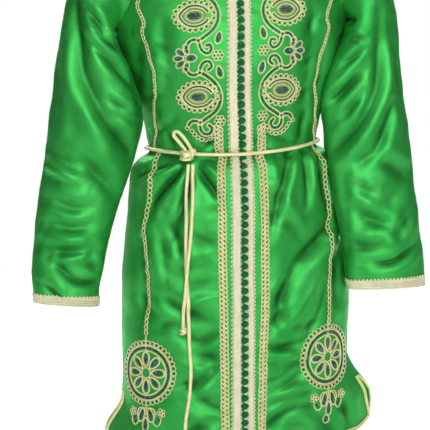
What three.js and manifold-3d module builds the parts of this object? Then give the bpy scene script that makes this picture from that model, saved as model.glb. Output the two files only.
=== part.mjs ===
// A satin tunic, worn and hollow: two fronts that meet at a row of knot buttons, one back, two set-in
// sleeves, braid on every edge, and a cord belt tied at the waist with its two ends hanging.
// Millimetres, +Z up, the front faces -Y and the wearer's right is at -X.
// The origin is midway between the two neck points, where the wearer's shoulders carry the garment.

import * as THREE from "three";
import { TessellateModifier } from "three/addons/modifiers/TessellateModifier.js";
import { mergeVertices } from "three/addons/utils/BufferGeometryUtils.js";
import Module from "manifold-3d";

const wasm = await Module();
wasm.setup();

// Thicknesses and gaps
const CLOTH = 1.4;
const BRAID = 1.4;
const SEAM_GAP = 0.3;
const EMBROIDERY_GAP = 1;
const EMBROIDERY = 1.3;
const EMBROIDERY_EDGE = 28; // the longest edge of its flat outlines before they are laid on the cloth
const EMBROIDERY_SPLITS = 8; // how often its longer edges may be halved
const MERGE = 1e-3; // points closer than this are one point

// Heights
const HEM_Z = -912;
const HEM_RISE = { from: -790, left: 24, right: 16 }; // the hem climbs towards each slit
const SLIT_TOP_Z = -816;
const UNDERARM_Z = -215;
const NECK_DROP = { front: 92, back: 26 };

// Shoulders
const NECK_HALF_WIDTH = 78;
const TIP = { x: 190, z: -48 };
const SHOULDER_ROUNDING = 115;
const LIFT = 0.045; // the wearer's left shoulder stands higher, so each point rises with x

// The body's horizontal sections, from the shoulders to the hem, and where the opening lies on each,
// measured from the section's middle
const BODY = [
  { z: 0, side: 212, front: 50, back: 70, lean: 0, opening: 0 },
  { z: -90, side: 209, front: 74, back: 92, lean: 2, opening: 0 },
  { z: -150, side: 206, front: 97, back: 106, lean: 4, opening: -1 },
  { z: -215, side: 198, front: 115, back: 110, lean: 6, opening: -4 },
  { z: -270, side: 181, front: 121, back: 104, lean: 7, opening: -6 },
  { z: -320, side: 164, front: 114, back: 96, lean: 8, opening: -6 },
  { z: -360, side: 151, front: 104, back: 88, lean: 10, opening: -5.5 },
  { z: -400, side: 143.2, front: 92, back: 78, lean: 11, opening: -4 },
  { z: -410, side: 141.2, front: 89, back: 75, lean: 11, opening: -3.5 },
  { z: -418, side: 143, front: 89.5, back: 75.5, lean: 11.5, opening: -3 },
  { z: -428, side: 161, front: 95, back: 84, lean: 12, opening: -3 },
  { z: -440, side: 170, front: 99, back: 90, lean: 12, opening: -3 },
  { z: -470, side: 175, front: 104, back: 99, lean: 12, opening: -3 },
  { z: -520, side: 181, front: 108, back: 107, lean: 13, opening: -3.5 },
  { z: -600, side: 191, front: 111, back: 118, lean: 15, opening: -6 },
  { z: -660, side: 195, front: 113, back: 121, lean: 17, opening: -7.5 },
  { z: -760, side: 194, front: 116, back: 122, lean: 16, opening: -7 },
  { z: HEM_Z, side: 195, front: 124, back: 127, lean: 15, opening: -7 },
];
// The cord sits lower in front than at the sides, and the waist follows it
const WAIST = { z: -410, frontSag: 13.5, backRise: 3, spread: 60 };
const ROUNDNESS = 2.2; // exponent of the sections' superellipse
const FLARE = { 1: { from: -768, to: -862, reach: 42 }, [-1]: { from: -832, to: -900, reach: 26 } };

// Where the side seams run, as an angle from the centre front
const SEAM = [
  { z: UNDERARM_Z, left: 89, right: 89 },
  { z: -420, left: 84, right: 87 },
  { z: -600, left: 78, right: 86 },
  { z: SLIT_TOP_Z, left: 72, right: 84 },
  { z: HEM_Z, left: 72, right: 84 },
];
// How much further back each edge of a slit lies at the hem, in degrees
const SLIT_GAPE = { 1: { front: 8, back: 18 }, [-1]: { front: 2, back: 8 } };

// The line of each side chain, as a share of the section's half width
const CHAIN_LINE = [
  { z: -215, left: 0.77, right: 0.777 },
  { z: -254, left: 0.775, right: 0.774 },
  { z: -290, left: 0.785, right: 0.778 },
  { z: -320, left: 0.825, right: 0.825 },
  { z: -345, left: 0.868, right: 0.885 },
  { z: -380, left: 0.885, right: 0.93 },
  { z: -408, left: 0.93, right: 0.945 },
  { z: -440, left: 0.86, right: 0.832 },
  { z: -500, left: 0.863, right: 0.84 },
  { z: -543, left: 0.852, right: 0.85 },
  { z: -600, left: 0.778, right: 0.82 },
  { z: -660, left: 0.755, right: 0.815 },
  { z: -728, left: 0.741, right: 0.817 },
  { z: HEM_Z, left: 0.741, right: 0.81 },
];
const CHAIN_WIDTH = 9;
const DOUBLE_CHAIN_TOP_Z = -378;
const CHAIN_END_Z = -714;

// The ends of the front's first two long bands, measured from the opening, on the wearer's left (1) and
// right (-1): a strip of knots and then a braid on the left, a wider braid and then bare cloth on the right
const FRONT_BANDS = { 1: { first: 10.8, second: 20.5 }, [-1]: { first: 14.5, second: 18.5 } };
// The inner edge of each double chain, measured from the opening
const DOUBLE_CHAIN = [
  { z: -380, left: 30, right: 25 },
  { z: -500, left: 32, right: 24.5 },
  { z: -660, left: 32.5, right: 23 },
  { z: -770, left: 29, right: 21 },
  { z: HEM_Z, left: 26.5, right: 19.5 },
];
const DOUBLE_CHAIN_WIDTH = 13.5;
const TRIM_WIDTH = 7;
const OPENING_GAP = 0.5;

// The armhole's edge curves in from the line between the underarm and the shoulder tip
const ARMHOLE_CURVE = { front: 32, back: 18 };

// The sleeves' rings: each one's outer and inner points, how far forward it lies and its half depth
const SLEEVE = {
  1: [
    { outX: 190, outZ: -48, inX: 198, inZ: -215, y: 0, deep: 64 },
    { outX: 217, outZ: -58, inX: 199, inZ: -223, y: -3, deep: 64 },
    { outX: 246, outZ: -82, inX: 191, inZ: -240, y: -13, deep: 61 },
    { outX: 267, outZ: -118, inX: 176, inZ: -262, y: -25, deep: 56 },
    { outX: 279, outZ: -164, inX: 163, inZ: -288, y: -33, deep: 52 },
    { outX: 285, outZ: -218, inX: 153, inZ: -319, y: -37, deep: 49 },
    { outX: 290, outZ: -275, inX: 153, inZ: -348, y: -38, deep: 47 },
    { outX: 298, outZ: -345, inX: 158, inZ: -383, y: -41, deep: 45 },
    { outX: 307, outZ: -425, inX: 162, inZ: -440, y: -45, deep: 43 },
    { outX: 316, outZ: -508, inX: 174, inZ: -514, y: -56, deep: 40 },
    { outX: 323, outZ: -588, inX: 188, inZ: -590, y: -67, deep: 37 },
    { outX: 326, outZ: -625, inX: 192, inZ: -626, y: -72, deep: 35 },
    { outX: 327, outZ: -661, inX: 196, inZ: -659, y: -76, deep: 34 },
  ],
  [-1]: [
    { outX: 190, outZ: -48, inX: 198, inZ: -215, y: 0, deep: 64 },
    { outX: 214, outZ: -58, inX: 199, inZ: -223, y: -3, deep: 64 },
    { outX: 238, outZ: -82, inX: 191, inZ: -240, y: -13, deep: 61 },
    { outX: 257, outZ: -118, inX: 174, inZ: -262, y: -26, deep: 56 },
    { outX: 270, outZ: -164, inX: 160, inZ: -288, y: -33, deep: 52 },
    { outX: 280, outZ: -218, inX: 149, inZ: -319, y: -36, deep: 49 },
    { outX: 288, outZ: -275, inX: 144, inZ: -346, y: -36, deep: 47 },
    { outX: 298, outZ: -345, inX: 146, inZ: -377, y: -37, deep: 45 },
    { outX: 309, outZ: -422, inX: 161, inZ: -430, y: -37, deep: 43 },
    { outX: 321, outZ: -505, inX: 189, inZ: -508, y: -45, deep: 39 },
    { outX: 329, outZ: -580, inX: 210, inZ: -585, y: -54, deep: 34 },
    { outX: 329, outZ: -620, inX: 218, inZ: -629, y: -59, deep: 32 },
    { outX: 326, outZ: -650, inX: 222, inZ: -663, y: -62, deep: 30 },
  ],
};
const SLEEVE_RINGS = 15;
const CUFF_BRAID_WIDTH = 16;
const SLEEVE_CLEARANCE = 3;

// The largest creases: from (x0, z0) to (x1, z1) seen from that face, bowed sideways by bow, with the
// half width and the height of each, where a trough's height is below zero
const CREASES = [
  // wearer's right sleeve, front
  { face: "front", x0: -262, z0: -165, x1: -165, z1: -425, bow: -22, width: 15, height: -9 },
  { face: "front", x0: -245, z0: -190, x1: -190, z1: -395, bow: -16, width: 16, height: 6 },
  { face: "front", x0: -235, z0: -150, x1: -168, z1: -300, bow: -8, width: 13, height: -5 },
  { face: "front", x0: -298, z0: -580, x1: -228, z1: -618, bow: 8, width: 13, height: -7 },
  { face: "front", x0: -300, z0: -548, x1: -225, z1: -556, bow: -9, width: 14, height: 5 },
  { face: "front", x0: -312, z0: -520, x1: -235, z1: -532, bow: -6, width: 14, height: -5 },
  // wearer's left sleeve, front
  { face: "front", x0: 276, z0: -165, x1: 178, z1: -425, bow: 26, width: 15, height: -8 },
  { face: "front", x0: 258, z0: -200, x1: 196, z1: -390, bow: 18, width: 16, height: 6 },
  { face: "front", x0: 240, z0: -255, x1: 180, z1: -335, bow: 10, width: 13, height: -6 },
  { face: "front", x0: 300, z0: -470, x1: 205, z1: -560, bow: 10, width: 16, height: -5 },
  // fronts above the belt
  { face: "front", x0: -118, z0: -205, x1: -125, z1: -395, bow: 10, width: 13, height: -6 },
  { face: "front", x0: 138, z0: -200, x1: 122, z1: -395, bow: -12, width: 14, height: -7 },
  // fronts below the belt
  { face: "front", x0: 172, z0: -545, x1: 78, z1: -700, bow: -14, width: 15, height: -6 },
  { face: "front", x0: -140, z0: -470, x1: -104, z1: -640, bow: -10, width: 17, height: 5 },
  { face: "front", x0: -52, z0: -600, x1: -122, z1: -640, bow: -8, width: 15, height: -5 },
  { face: "front", x0: -60, z0: -720, x1: -30, z1: -800, bow: 6, width: 16, height: -4 },
  { face: "front", x0: 66, z0: -770, x1: 120, z1: -735, bow: 6, width: 15, height: -5 },
  // back: the same kinds of fold
  { face: "back", x0: -262, z0: -175, x1: -175, z1: -420, bow: -22, width: 15, height: -7 },
  { face: "back", x0: 270, z0: -175, x1: 185, z1: -420, bow: 22, width: 15, height: -7 },
  { face: "back", x0: -110, z0: -240, x1: -60, z1: -400, bow: 8, width: 16, height: -6 },
  { face: "back", x0: 118, z0: -230, x1: 66, z1: -400, bow: -8, width: 16, height: -6 },
  { face: "back", x0: -70, z0: -445, x1: -100, z1: -800, bow: -8, width: 20, height: -7 },
  { face: "back", x0: 40, z0: -450, x1: 48, z1: -780, bow: 6, width: 20, height: -6 },
  { face: "back", x0: 120, z0: -460, x1: 142, z1: -820, bow: 8, width: 20, height: -6 },
];

// Knot buttons, one to each pitch of their strip
const KNOT_PITCH = 13.6;
const KNOT_HEIGHT = 4.4;
const KNOT_STRIP = { bottom: HEM_Z + 1.5, belowNeck: 1, gap: 0.6, columns: [0.04, 0.5, 0.96] };

// Belt: how its height falls in front and rises behind, how far it clears the cloth, and how much further
// it stands out over the knots, whose middle lies at knotsAt from the opening
const CORD_RADIUS = 3.2;
const BELT = {
  sideZ: -409, frontSag: 13.5, backRise: 3, clearance: 1.2,
  overKnots: 5.4, knotsAt: 5.6, knotsSpread: 15, step: 9,
};
const KNOT = { x: -71, z: -424, radius: 8.6, out: 13 };
// The bow's loop over the front, as x, height and distance from the cloth
const BOW = [
  [-73, -423, 13], [-78.5, -414, 11], [-86.5, -402.5, 8.5], [-94, -393, 7], [-98.5, -386.5, 7],
  [-97, -381, 7.5], [-91, -382, 8.5], [-83, -391, 10], [-75, -403, 12], [-69.5, -414, 13.5], [-69, -423, 13],
];
// The hanging ends' routes over the front, as x, height and distance from the cloth
const ENDS = {
  short: [
    [-68.5, -435.9, 10.5], [-69, -458, 6], [-70, -493, 5.2], [-74, -550, 7], [-79, -590, 12.6],
    [-80.5, -613, 13], [-82.5, -636, 12], [-84.5, -665, 7], [-85.8, -690, 5.6], [-86, -700, 5.6],
  ],
  long: [
    [-76, -435.6, 10.5], [-77.5, -458, 6], [-79.5, -493, 5.2], [-81.5, -550, 5], [-80.5, -613, 5],
    [-77.5, -670, 5], [-75.8, -739, 5], [-74, -781, 5], [-76.7, -815, 5], [-82, -846, 5.2],
    [-84, -870, 6.4], [-85, -887, 8.4],
  ],
};
const END_KNOT = { radius: 6, height: 7.5, flatness: 0.85, out: 0.6 };
const END_STEPS = { short: 16, long: 26 };
const ROUTE_STEP = 18; // the points of a route over the cloth are at most this far apart

const DEG = Math.PI / 180;
const lerp = THREE.MathUtils.lerp;
const vec = (x, y, z) => new THREE.Vector3(x, y, z);

// A smooth curve through one column of a table, read along another column
function through(rows, along, key) {
  const points = rows.map((row) => [row[along], row[key]]).sort((a, b) => a[0] - b[0]);
  const last = points.length - 1;
  const slopes = points.map((_, i) => {
    const [before, after] = [points[Math.max(i - 1, 0)], points[Math.min(i + 1, last)]];
    return (after[1] - before[1]) / (after[0] - before[0]);
  });
  return (at) => {
    if (at <= points[0][0]) return points[0][1];
    if (at >= points[last][0]) return points[last][1];
    const i = points.findIndex((_, k) => at < points[k + 1][0]);
    const span = points[i + 1][0] - points[i][0];
    const t = (at - points[i][0]) / span;
    const [t2, t3] = [t * t, t * t * t];
    return (
      points[i][1] * (2 * t3 - 3 * t2 + 1) +
      slopes[i] * span * (t3 - 2 * t2 + t) +
      points[i + 1][1] * (3 * t2 - 2 * t3) +
      slopes[i + 1] * span * (t3 - t2)
    );
  };
}

const halfWidth = through(BODY, "z", "side");
const depthOf = { front: through(BODY, "z", "front"), back: through(BODY, "z", "back") };
const lean = through(BODY, "z", "lean");
const opening = through(BODY, "z", "opening");
const seamAngle = { 1: through(SEAM, "z", "left"), [-1]: through(SEAM, "z", "right") };
const chainShare = { 1: through(CHAIN_LINE, "z", "left"), [-1]: through(CHAIN_LINE, "z", "right") };
const doubleChainAt = { 1: through(DOUBLE_CHAIN, "z", "left"), [-1]: through(DOUBLE_CHAIN, "z", "right") };

function flareAt(side, z) {
  const { from, to, reach } = FLARE[side];
  return reach * THREE.MathUtils.smoothstep(-z, -from, -to);
}

// A point on the body's section at height z. The angle runs from 0 at the centre front to 180 at the
// centre back, and side is 1 towards the wearer's left.
function sectionPoint(side, angle, z) {
  const [s, c] = [Math.sin(angle * DEG), Math.cos(angle * DEG)];
  const face = c > 0 ? "front" : "back";
  const shift = (face === "front" ? WAIST.frontSag : -WAIST.backRise) * c * c;
  const level = z + shift * Math.exp(-(((z - WAIST.z) / WAIST.spread) ** 2));
  const width = halfWidth(level) + flareAt(side, z) * s ** 4;
  const across = width * Math.sign(s) * Math.abs(s) ** (2 / ROUNDNESS);
  const forward = depthOf[face](level) * Math.abs(c) ** (2 / ROUNDNESS);
  return vec(lean(z) + side * across, face === "front" ? -forward : forward, z);
}

// The angle that lies that many millimetres further round the section
function angleBeyond(side, angle, z, distance) {
  const step = 0.1;
  const speed = sectionPoint(side, angle, z).distanceTo(sectionPoint(side, angle + step, z)) / step;
  return angle + distance / speed;
}

// The angle whose point on the section lies at that share of the half width
function angleAtShare(share) {
  const sine = Math.min(Math.abs(share), 1) ** (ROUNDNESS / 2);
  return (Math.sign(share) * Math.asin(sine)) / DEG;
}

// How far the chest or back stands forward of the shoulder line, above the underarm
function chestDepth(x, z, face) {
  const share = Math.min(Math.abs(x) / halfWidth(z), 1);
  const ridge = TIP.z * ((x - NECK_HALF_WIDTH) / (TIP.x - NECK_HALF_WIDTH));
  const below = THREE.MathUtils.clamp((ridge - z) / SHOULDER_ROUNDING, 0, 1);
  return depthOf[face](z) * (1 - share ** ROUNDNESS) ** (1 / ROUNDNESS) * Math.sqrt(1 - (1 - below) ** 2);
}

// The height of the creases at a point seen from that face
const creaseLines = CREASES.map((crease) => {
  const [start, end] = [new THREE.Vector2(crease.x0, crease.z0), new THREE.Vector2(crease.x1, crease.z1)];
  const along = end.clone().sub(start).normalize();
  const sideways = new THREE.Vector2(-along.y, along.x).multiplyScalar(crease.bow);
  const middle = start.clone().lerp(end, 0.5).add(sideways);
  const curve = new THREE.QuadraticBezierCurve(start, middle, end);
  return { ...crease, points: curve.getPoints(12) };
});

function creaseHeight(x, z, face) {
  let height = 0;
  for (const crease of creaseLines) {
    if (crease.face !== face) continue;
    let [nearest, place] = [Infinity, 0];
    crease.points.forEach((point, i) => {
      const distance = Math.hypot(x - point.x, z - point.y);
      if (distance < nearest) [nearest, place] = [distance, i / (crease.points.length - 1)];
    });
    const taper = Math.sqrt(Math.sin(Math.PI * THREE.MathUtils.clamp(0.08 + place * 0.84, 0, 1)));
    height += crease.height * taper * Math.exp(-((nearest / crease.width) ** 2));
  }
  return height;
}

// A grid is an array of rows of points. Its normals point away from the cloth's own hollow.
function normalsOf(grid, isRing, hollowAt) {
  const rows = grid.length;
  const columns = grid[0].length;
  const normals = grid.map((row) => row.map(() => vec(0, 0, 0)));
  for (let i = 0; i + 1 < rows; i += 1) {
    for (let j = 0; j + 1 < columns + (isRing ? 1 : 0); j += 1) {
      const k = (j + 1) % columns;
      const first = grid[i + 1][k].clone().sub(grid[i][j]);
      const second = grid[i + 1][j].clone().sub(grid[i][k]);
      const facing = first.cross(second);
      [normals[i][j], normals[i][k], normals[i + 1][j], normals[i + 1][k]].forEach((n) => n.add(facing));
    }
  }
  const middle = grid[rows >> 1][columns >> 1];
  const outward = middle.clone().sub(hollowAt(middle)).dot(normals[rows >> 1][columns >> 1]) > 0 ? 1 : -1;
  normals.forEach((row) => row.forEach((n) => n.normalize().multiplyScalar(outward)));
  return normals;
}

// Moves each point of a sheet by the creases that its face shows
function crease(sheet) {
  sheet.grid.forEach((row, i) =>
    row.forEach((point, j) => {
      const normal = sheet.normals[i][j];
      const facing = Math.min(1, Math.abs(normal.y) * 1.6);
      const height = creaseHeight(point.x, point.z, normal.y < 0 ? "front" : "back");
      point.addScaledVector(normal, height * facing);
    }),
  );
}

// The closed solid between two distances from a sheet's points, over those of its cells that are kept,
// with its outline drawn in by the inset
function slab(sheet, low, high, keep = () => true, inset = 0) {
  const { grid, normals, isRing } = sheet;
  const rows = grid.length;
  const columns = grid[0].length;
  const cellColumns = isRing ? columns : columns - 1;
  const kept = (i, j) => {
    const column = isRing ? (j + cellColumns) % cellColumns : j;
    return i >= 0 && i < rows - 1 && column >= 0 && column < cellColumns && keep(i, column);
  };
  const numbers = new Map();
  const positions = [];
  const at = (i, j, layer) => {
    const column = j % columns;
    const key = `${i},${column},${layer}`;
    if (!numbers.has(key)) {
      const point = grid[i][column].clone().addScaledVector(normals[i][column], layer ? high : low);
      const around = [[i - 1, j - 1], [i - 1, j], [i, j], [i, j - 1]].filter(([r, c]) => kept(r, c));
      if (inset && around.length < 4) {
        const middle = vec(0, 0, 0);
        around.forEach(([r, c]) => {
          const [left, right] = [(c + columns) % columns, (c + 1) % columns];
          const corners = [grid[r][left], grid[r][right], grid[r + 1][left], grid[r + 1][right]];
          corners.forEach((corner) => middle.add(corner));
        });
        middle.divideScalar(4 * around.length).sub(grid[i][column]);
        middle.addScaledVector(normals[i][column], -middle.dot(normals[i][column]));
        point.addScaledVector(middle.normalize(), inset);
      }
      numbers.set(key, positions.length / 3);
      positions.push(point.x, point.y, point.z);
    }
    return numbers.get(key);
  };
  const triangles = [];
  const quad = (a, b, c, d) => triangles.push(a, b, c, a, c, d);
  for (let i = 0; i < rows - 1; i += 1) {
    for (let j = 0; j < cellColumns; j += 1) {
      if (!kept(i, j)) continue;
      const corners = [[i, j], [i, j + 1], [i + 1, j + 1], [i + 1, j]];
      const top = corners.map(([r, c]) => at(r, c, 1));
      const bottom = corners.map(([r, c]) => at(r, c, 0));
      quad(...top);
      triangles.push(bottom[0], bottom[2], bottom[1], bottom[0], bottom[3], bottom[2]);
      const beside = [[i - 1, j], [i, j + 1], [i + 1, j], [i, j - 1]];
      beside.forEach(([r, c], edge) => {
        if (kept(r, c)) return;
        const next = (edge + 1) % 4;
        quad(top[next], top[edge], bottom[edge], bottom[next]);
      });
    }
  }
  const geometry = new THREE.BufferGeometry();
  geometry.setAttribute("position", new THREE.BufferAttribute(new Float32Array(positions), 3));
  geometry.setIndex(triangles);
  return facingOut(geometry);
}

// Turns a closed geometry's faces outwards
function facingOut(geometry) {
  const position = geometry.getAttribute("position");
  const index = geometry.index.array;
  const [a, b, c] = [vec(), vec(), vec()];
  let volume = 0;
  for (let i = 0; i < index.length; i += 3) {
    a.fromBufferAttribute(position, index[i]);
    b.fromBufferAttribute(position, index[i + 1]);
    c.fromBufferAttribute(position, index[i + 2]);
    volume += a.dot(b.cross(c));
  }
  if (volume < 0) {
    for (let i = 0; i < index.length; i += 3) [index[i], index[i + 1]] = [index[i + 1], index[i]];
  }
  return geometry;
}

const wall = (sheet, keep) => slab(sheet, -CLOTH, 0, keep);
const band = (sheet, keep) => slab(sheet, SEAM_GAP, SEAM_GAP + BRAID, keep, SEAM_GAP);

// The heights of the rows below the underarm, close together where the cord draws the waist in
const rowHeights = [
  HEM_Z, HEM_Z + 11, -862, SLIT_TOP_Z, -782, -748, -714, -665, -616, -567, -520, -480, -458, -440, -429, -418,
  -406, -394, -378, -352, -322, -292, -264, -238, UNDERARM_Z,
];
// The shares of the height from there to the neckline at which the rows above lie
const YOKE_RISES = [0.125, 0.25, 0.375, 0.5, 0.625, 0.75, 0.87, 0.945, 1];

// How far open the slit is, from 0 at its top to 1 at the hem
const slitDrop = (z) => THREE.MathUtils.clamp((SLIT_TOP_Z - z) / (SLIT_TOP_Z - HEM_Z), 0, 1);

// Raises a point of the skirt's lower part towards the slit, which lies at a share of 1
function withHem(point, side, share) {
  const low = THREE.MathUtils.smoothstep(-point.z, -HEM_RISE.from, -HEM_Z);
  point.z += (side > 0 ? HEM_RISE.left : HEM_RISE.right) * low * Math.max(share, 0) ** 5;
  return point;
}

// The distances of a front's columns from the opening, as far as the double chain's outer edge
function bandsAt(side, z) {
  const bands = FRONT_BANDS[side];
  const inner = doubleChainAt[side](z);
  return [OPENING_GAP / 2, bands.first, bands.second, inner, inner + DOUBLE_CHAIN_WIDTH];
}

// The front's row of points at height z, from the centre to the side seam or the slit's edge
function frontRow(side, z) {
  const width = halfWidth(z);
  const middle = side * opening(z);
  const shares = bandsAt(side, z).map((distance) => (middle + distance) / width);
  const share = chainShare[side](z);
  const chain = [share - CHAIN_WIDTH / 2 / width, share + CHAIN_WIDTH / 2 / width];
  const between = [0.27, 0.53, 0.77].map((part) => lerp(shares[shares.length - 1], chain[0], part));
  const angles = [...shares, ...between, ...chain].map(angleAtShare);
  const edge = seamAngle[side](z) + SLIT_GAPE[side].front * slitDrop(z) ** 2;
  const end = angleBeyond(side, edge, z, -SEAM_GAP * 0.6);
  const trim = angleBeyond(side, end, z, -TRIM_WIDTH);
  const last = angles[angles.length - 1];
  angles.push(...[0.33, 0.67].map((part) => lerp(last, trim, part)), trim, end);
  return angles.map((angle) => withHem(sectionPoint(side, angle, z), side, angle / edge));
}

const BACK_SHARES = [0, 0.16, 0.34, 0.54, 0.76];

// Half of the back's row at height z, from the centre to the side seam or the slit's edge
function backRow(side, z) {
  const edge = seamAngle[side](z) + SLIT_GAPE[side].back * slitDrop(z);
  const end = angleBeyond(side, edge, z, SEAM_GAP * 0.6);
  const trim = angleBeyond(side, end, z, TRIM_WIDTH);
  const angles = BACK_SHARES.map((share) => lerp(180, trim, share));
  angles.push(trim, end);
  return angles.map((angle) => withHem(sectionPoint(side, angle, z), side, (180 - angle) / (180 - edge)));
}

// How far the armhole's edge lies from the body's centre line, at that share of its height
function armholeX(side, face, rise) {
  const start = Math.abs(sectionPoint(side, seamAngle[side](UNDERARM_Z), UNDERARM_Z).x - lean(UNDERARM_Z));
  return lerp(start, TIP.x, rise) - ARMHOLE_CURVE[face] * Math.sin(Math.PI * rise);
}

// Rows above the underarm spread from the level row there to the neckline and the shoulder seam. The
// outermost columns close up beside the armhole, at the distances from its edge that beside lists.
function yokeRow(side, face, base, topColumns, beside, rise) {
  const baseX = base.map((point) => side * (point.x - lean(UNDERARM_Z)));
  const edgeX = armholeX(side, face, rise);
  const straightX = lerp(baseX[baseX.length - 1], TIP.x, rise);
  const closing = THREE.MathUtils.smoothstep(rise, 0, 0.28);
  const inner = base.length - beside.length;
  return base.map((_, j) => {
    const topX = j < inner ? topColumns[j] : TIP.x - beside[j - inner];
    const topZ =
      topX < NECK_HALF_WIDTH
        ? -NECK_DROP[face] * Math.sqrt(1 - (topX / NECK_HALF_WIDTH) ** 2)
        : (TIP.z * (topX - NECK_HALF_WIDTH)) / (TIP.x - NECK_HALF_WIDTH);
    const plainX = lerp(baseX[j], topX, rise);
    const x =
      j < inner
        ? plainX + (Math.abs(plainX) / straightX) ** 3 * (edgeX - straightX)
        : edgeX - lerp(baseX[baseX.length - 1] - baseX[j], beside[j - inner], closing);
    const z = lerp(UNDERARM_Z, topZ, rise);
    const depth = chestDepth(x, z, face) + SEAM_GAP;
    return vec(lean(z) + side * x, face === "front" ? -depth : depth, z);
  });
}

const hollowOfBody = (point) => vec(lean(point.z), 0, point.z);

const panel = (grid, topColumns) => {
  const normals = normalsOf(grid, false, hollowOfBody);
  return { grid, topColumns, isRing: false, normals };
};

// Gives the panels' normals, and the same normal to both sides of a seam so that the walls don't cross
function setNormals(fronts, back) {
  [fronts[1], fronts[-1], back].forEach((sheet) => {
    sheet.normals = normalsOf(sheet.grid, false, hollowOfBody);
    sheet.normals.at(-1).forEach((normal, j) => {
      if (sheet.topColumns[j] < NECK_HALF_WIDTH) return;
      normal.y = 0;
      normal.normalize();
    });
  });
  const share = (a, b) => {
    a.add(b).normalize();
    b.copy(a);
  };
  rowHeights.forEach((z, i) => {
    if (z < SLIT_TOP_Z) return;
    share(fronts[1].normals[i].at(-1), back.normals[i].at(-1));
    share(fronts[-1].normals[i].at(-1), back.normals[i][0]);
  });
  fronts[1].normals.forEach((row, i) => share(row[0], fronts[-1].normals[i][0]));
}

function frontSheet(side) {
  const rows = rowHeights.map((z) => frontRow(side, z));
  const base = rows[rows.length - 1];
  const topColumns = [...bandsAt(side, 0), 60, NECK_HALF_WIDTH, 122];
  const beside = [17, 8, 6.2, 4.4, 2.6, 0];
  YOKE_RISES.forEach((rise) => rows.push(yokeRow(side, "front", base, topColumns, beside, rise)));
  return panel(rows, [...topColumns, ...beside.map((distance) => TIP.x - distance)]);
}

function backSheet() {
  const topColumns = [0, 34, 60, NECK_HALF_WIDTH, 132];
  const beside = [3, 0];
  const half = (side) => {
    const rows = rowHeights.map((z) => backRow(side, z));
    const base = rows[rows.length - 1];
    YOKE_RISES.forEach((rise) => rows.push(yokeRow(side, "back", base, topColumns, beside, rise)));
    return rows;
  };
  const [left, right] = [half(1), half(-1)];
  const rows = right.map((row, i) => [...row.slice(1).reverse(), ...left[i]]);
  const columns = [...topColumns, ...beside.map((distance) => TIP.x - distance)];
  return panel(rows, [...columns.slice(1).reverse(), ...columns]);
}

// Keeps a point of a sleeve outside the body by a clearance
function clearOfBody(point, side, clearance) {
  const centre = lean(point.z);
  const face = point.y < 0 ? "front" : "back";
  if (point.z > UNDERARM_Z) {
    const rise = (point.z - UNDERARM_Z) / (TIP.z - UNDERARM_Z);
    const least = rise < 0.7 ? armholeX(side, face, rise) + clearance : 0;
    return vec(centre + side * Math.max(side * (point.x - centre), least), point.y, point.z);
  }
  const [width, depth] = [halfWidth(point.z), depthOf[face](point.z)];
  const across = Math.abs(point.x - centre) / width;
  const forward = Math.abs(point.y) / depth;
  const reach = (across ** ROUNDNESS + forward ** ROUNDNESS) ** (1 / ROUNDNESS);
  const wanted = 1 + clearance / width;
  if (reach >= wanted) return point;
  return vec(centre + ((point.x - centre) * wanted) / reach, (point.y * wanted) / reach, point.z);
}

// The ring of points round an armhole: down the front's edge and up the back's
function armholeRing(side, front, back) {
  const first = rowHeights.length - 1;
  const backColumn = side > 0 ? back.grid[0].length - 1 : 0;
  const beyond = (row, column, beside) => {
    const point = row.at(column);
    return point.clone().add(point.clone().sub(row.at(beside)).setLength(SEAM_GAP * 3.2));
  };
  const ring = [];
  for (let i = YOKE_RISES.length; i >= 0; i -= 1) ring.push(beyond(front.grid[first + i], -1, -2));
  const behind = side > 0 ? -2 : 1;
  for (let i = 0; i <= YOKE_RISES.length; i += 1) ring.push(beyond(back.grid[first + i], backColumn, behind));
  const [top, bottom] = [ring[0].clone().lerp(ring.at(-1), 0.5), ring[YOKE_RISES.length].clone()];
  bottom.lerp(ring[YOKE_RISES.length + 1], 0.5).add(vec(side * SEAM_GAP * 2.5, 0, 0));
  ring.splice(YOKE_RISES.length, 2, bottom);
  ring.splice(0, 1, top);
  ring.pop();
  return ring;
}

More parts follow.
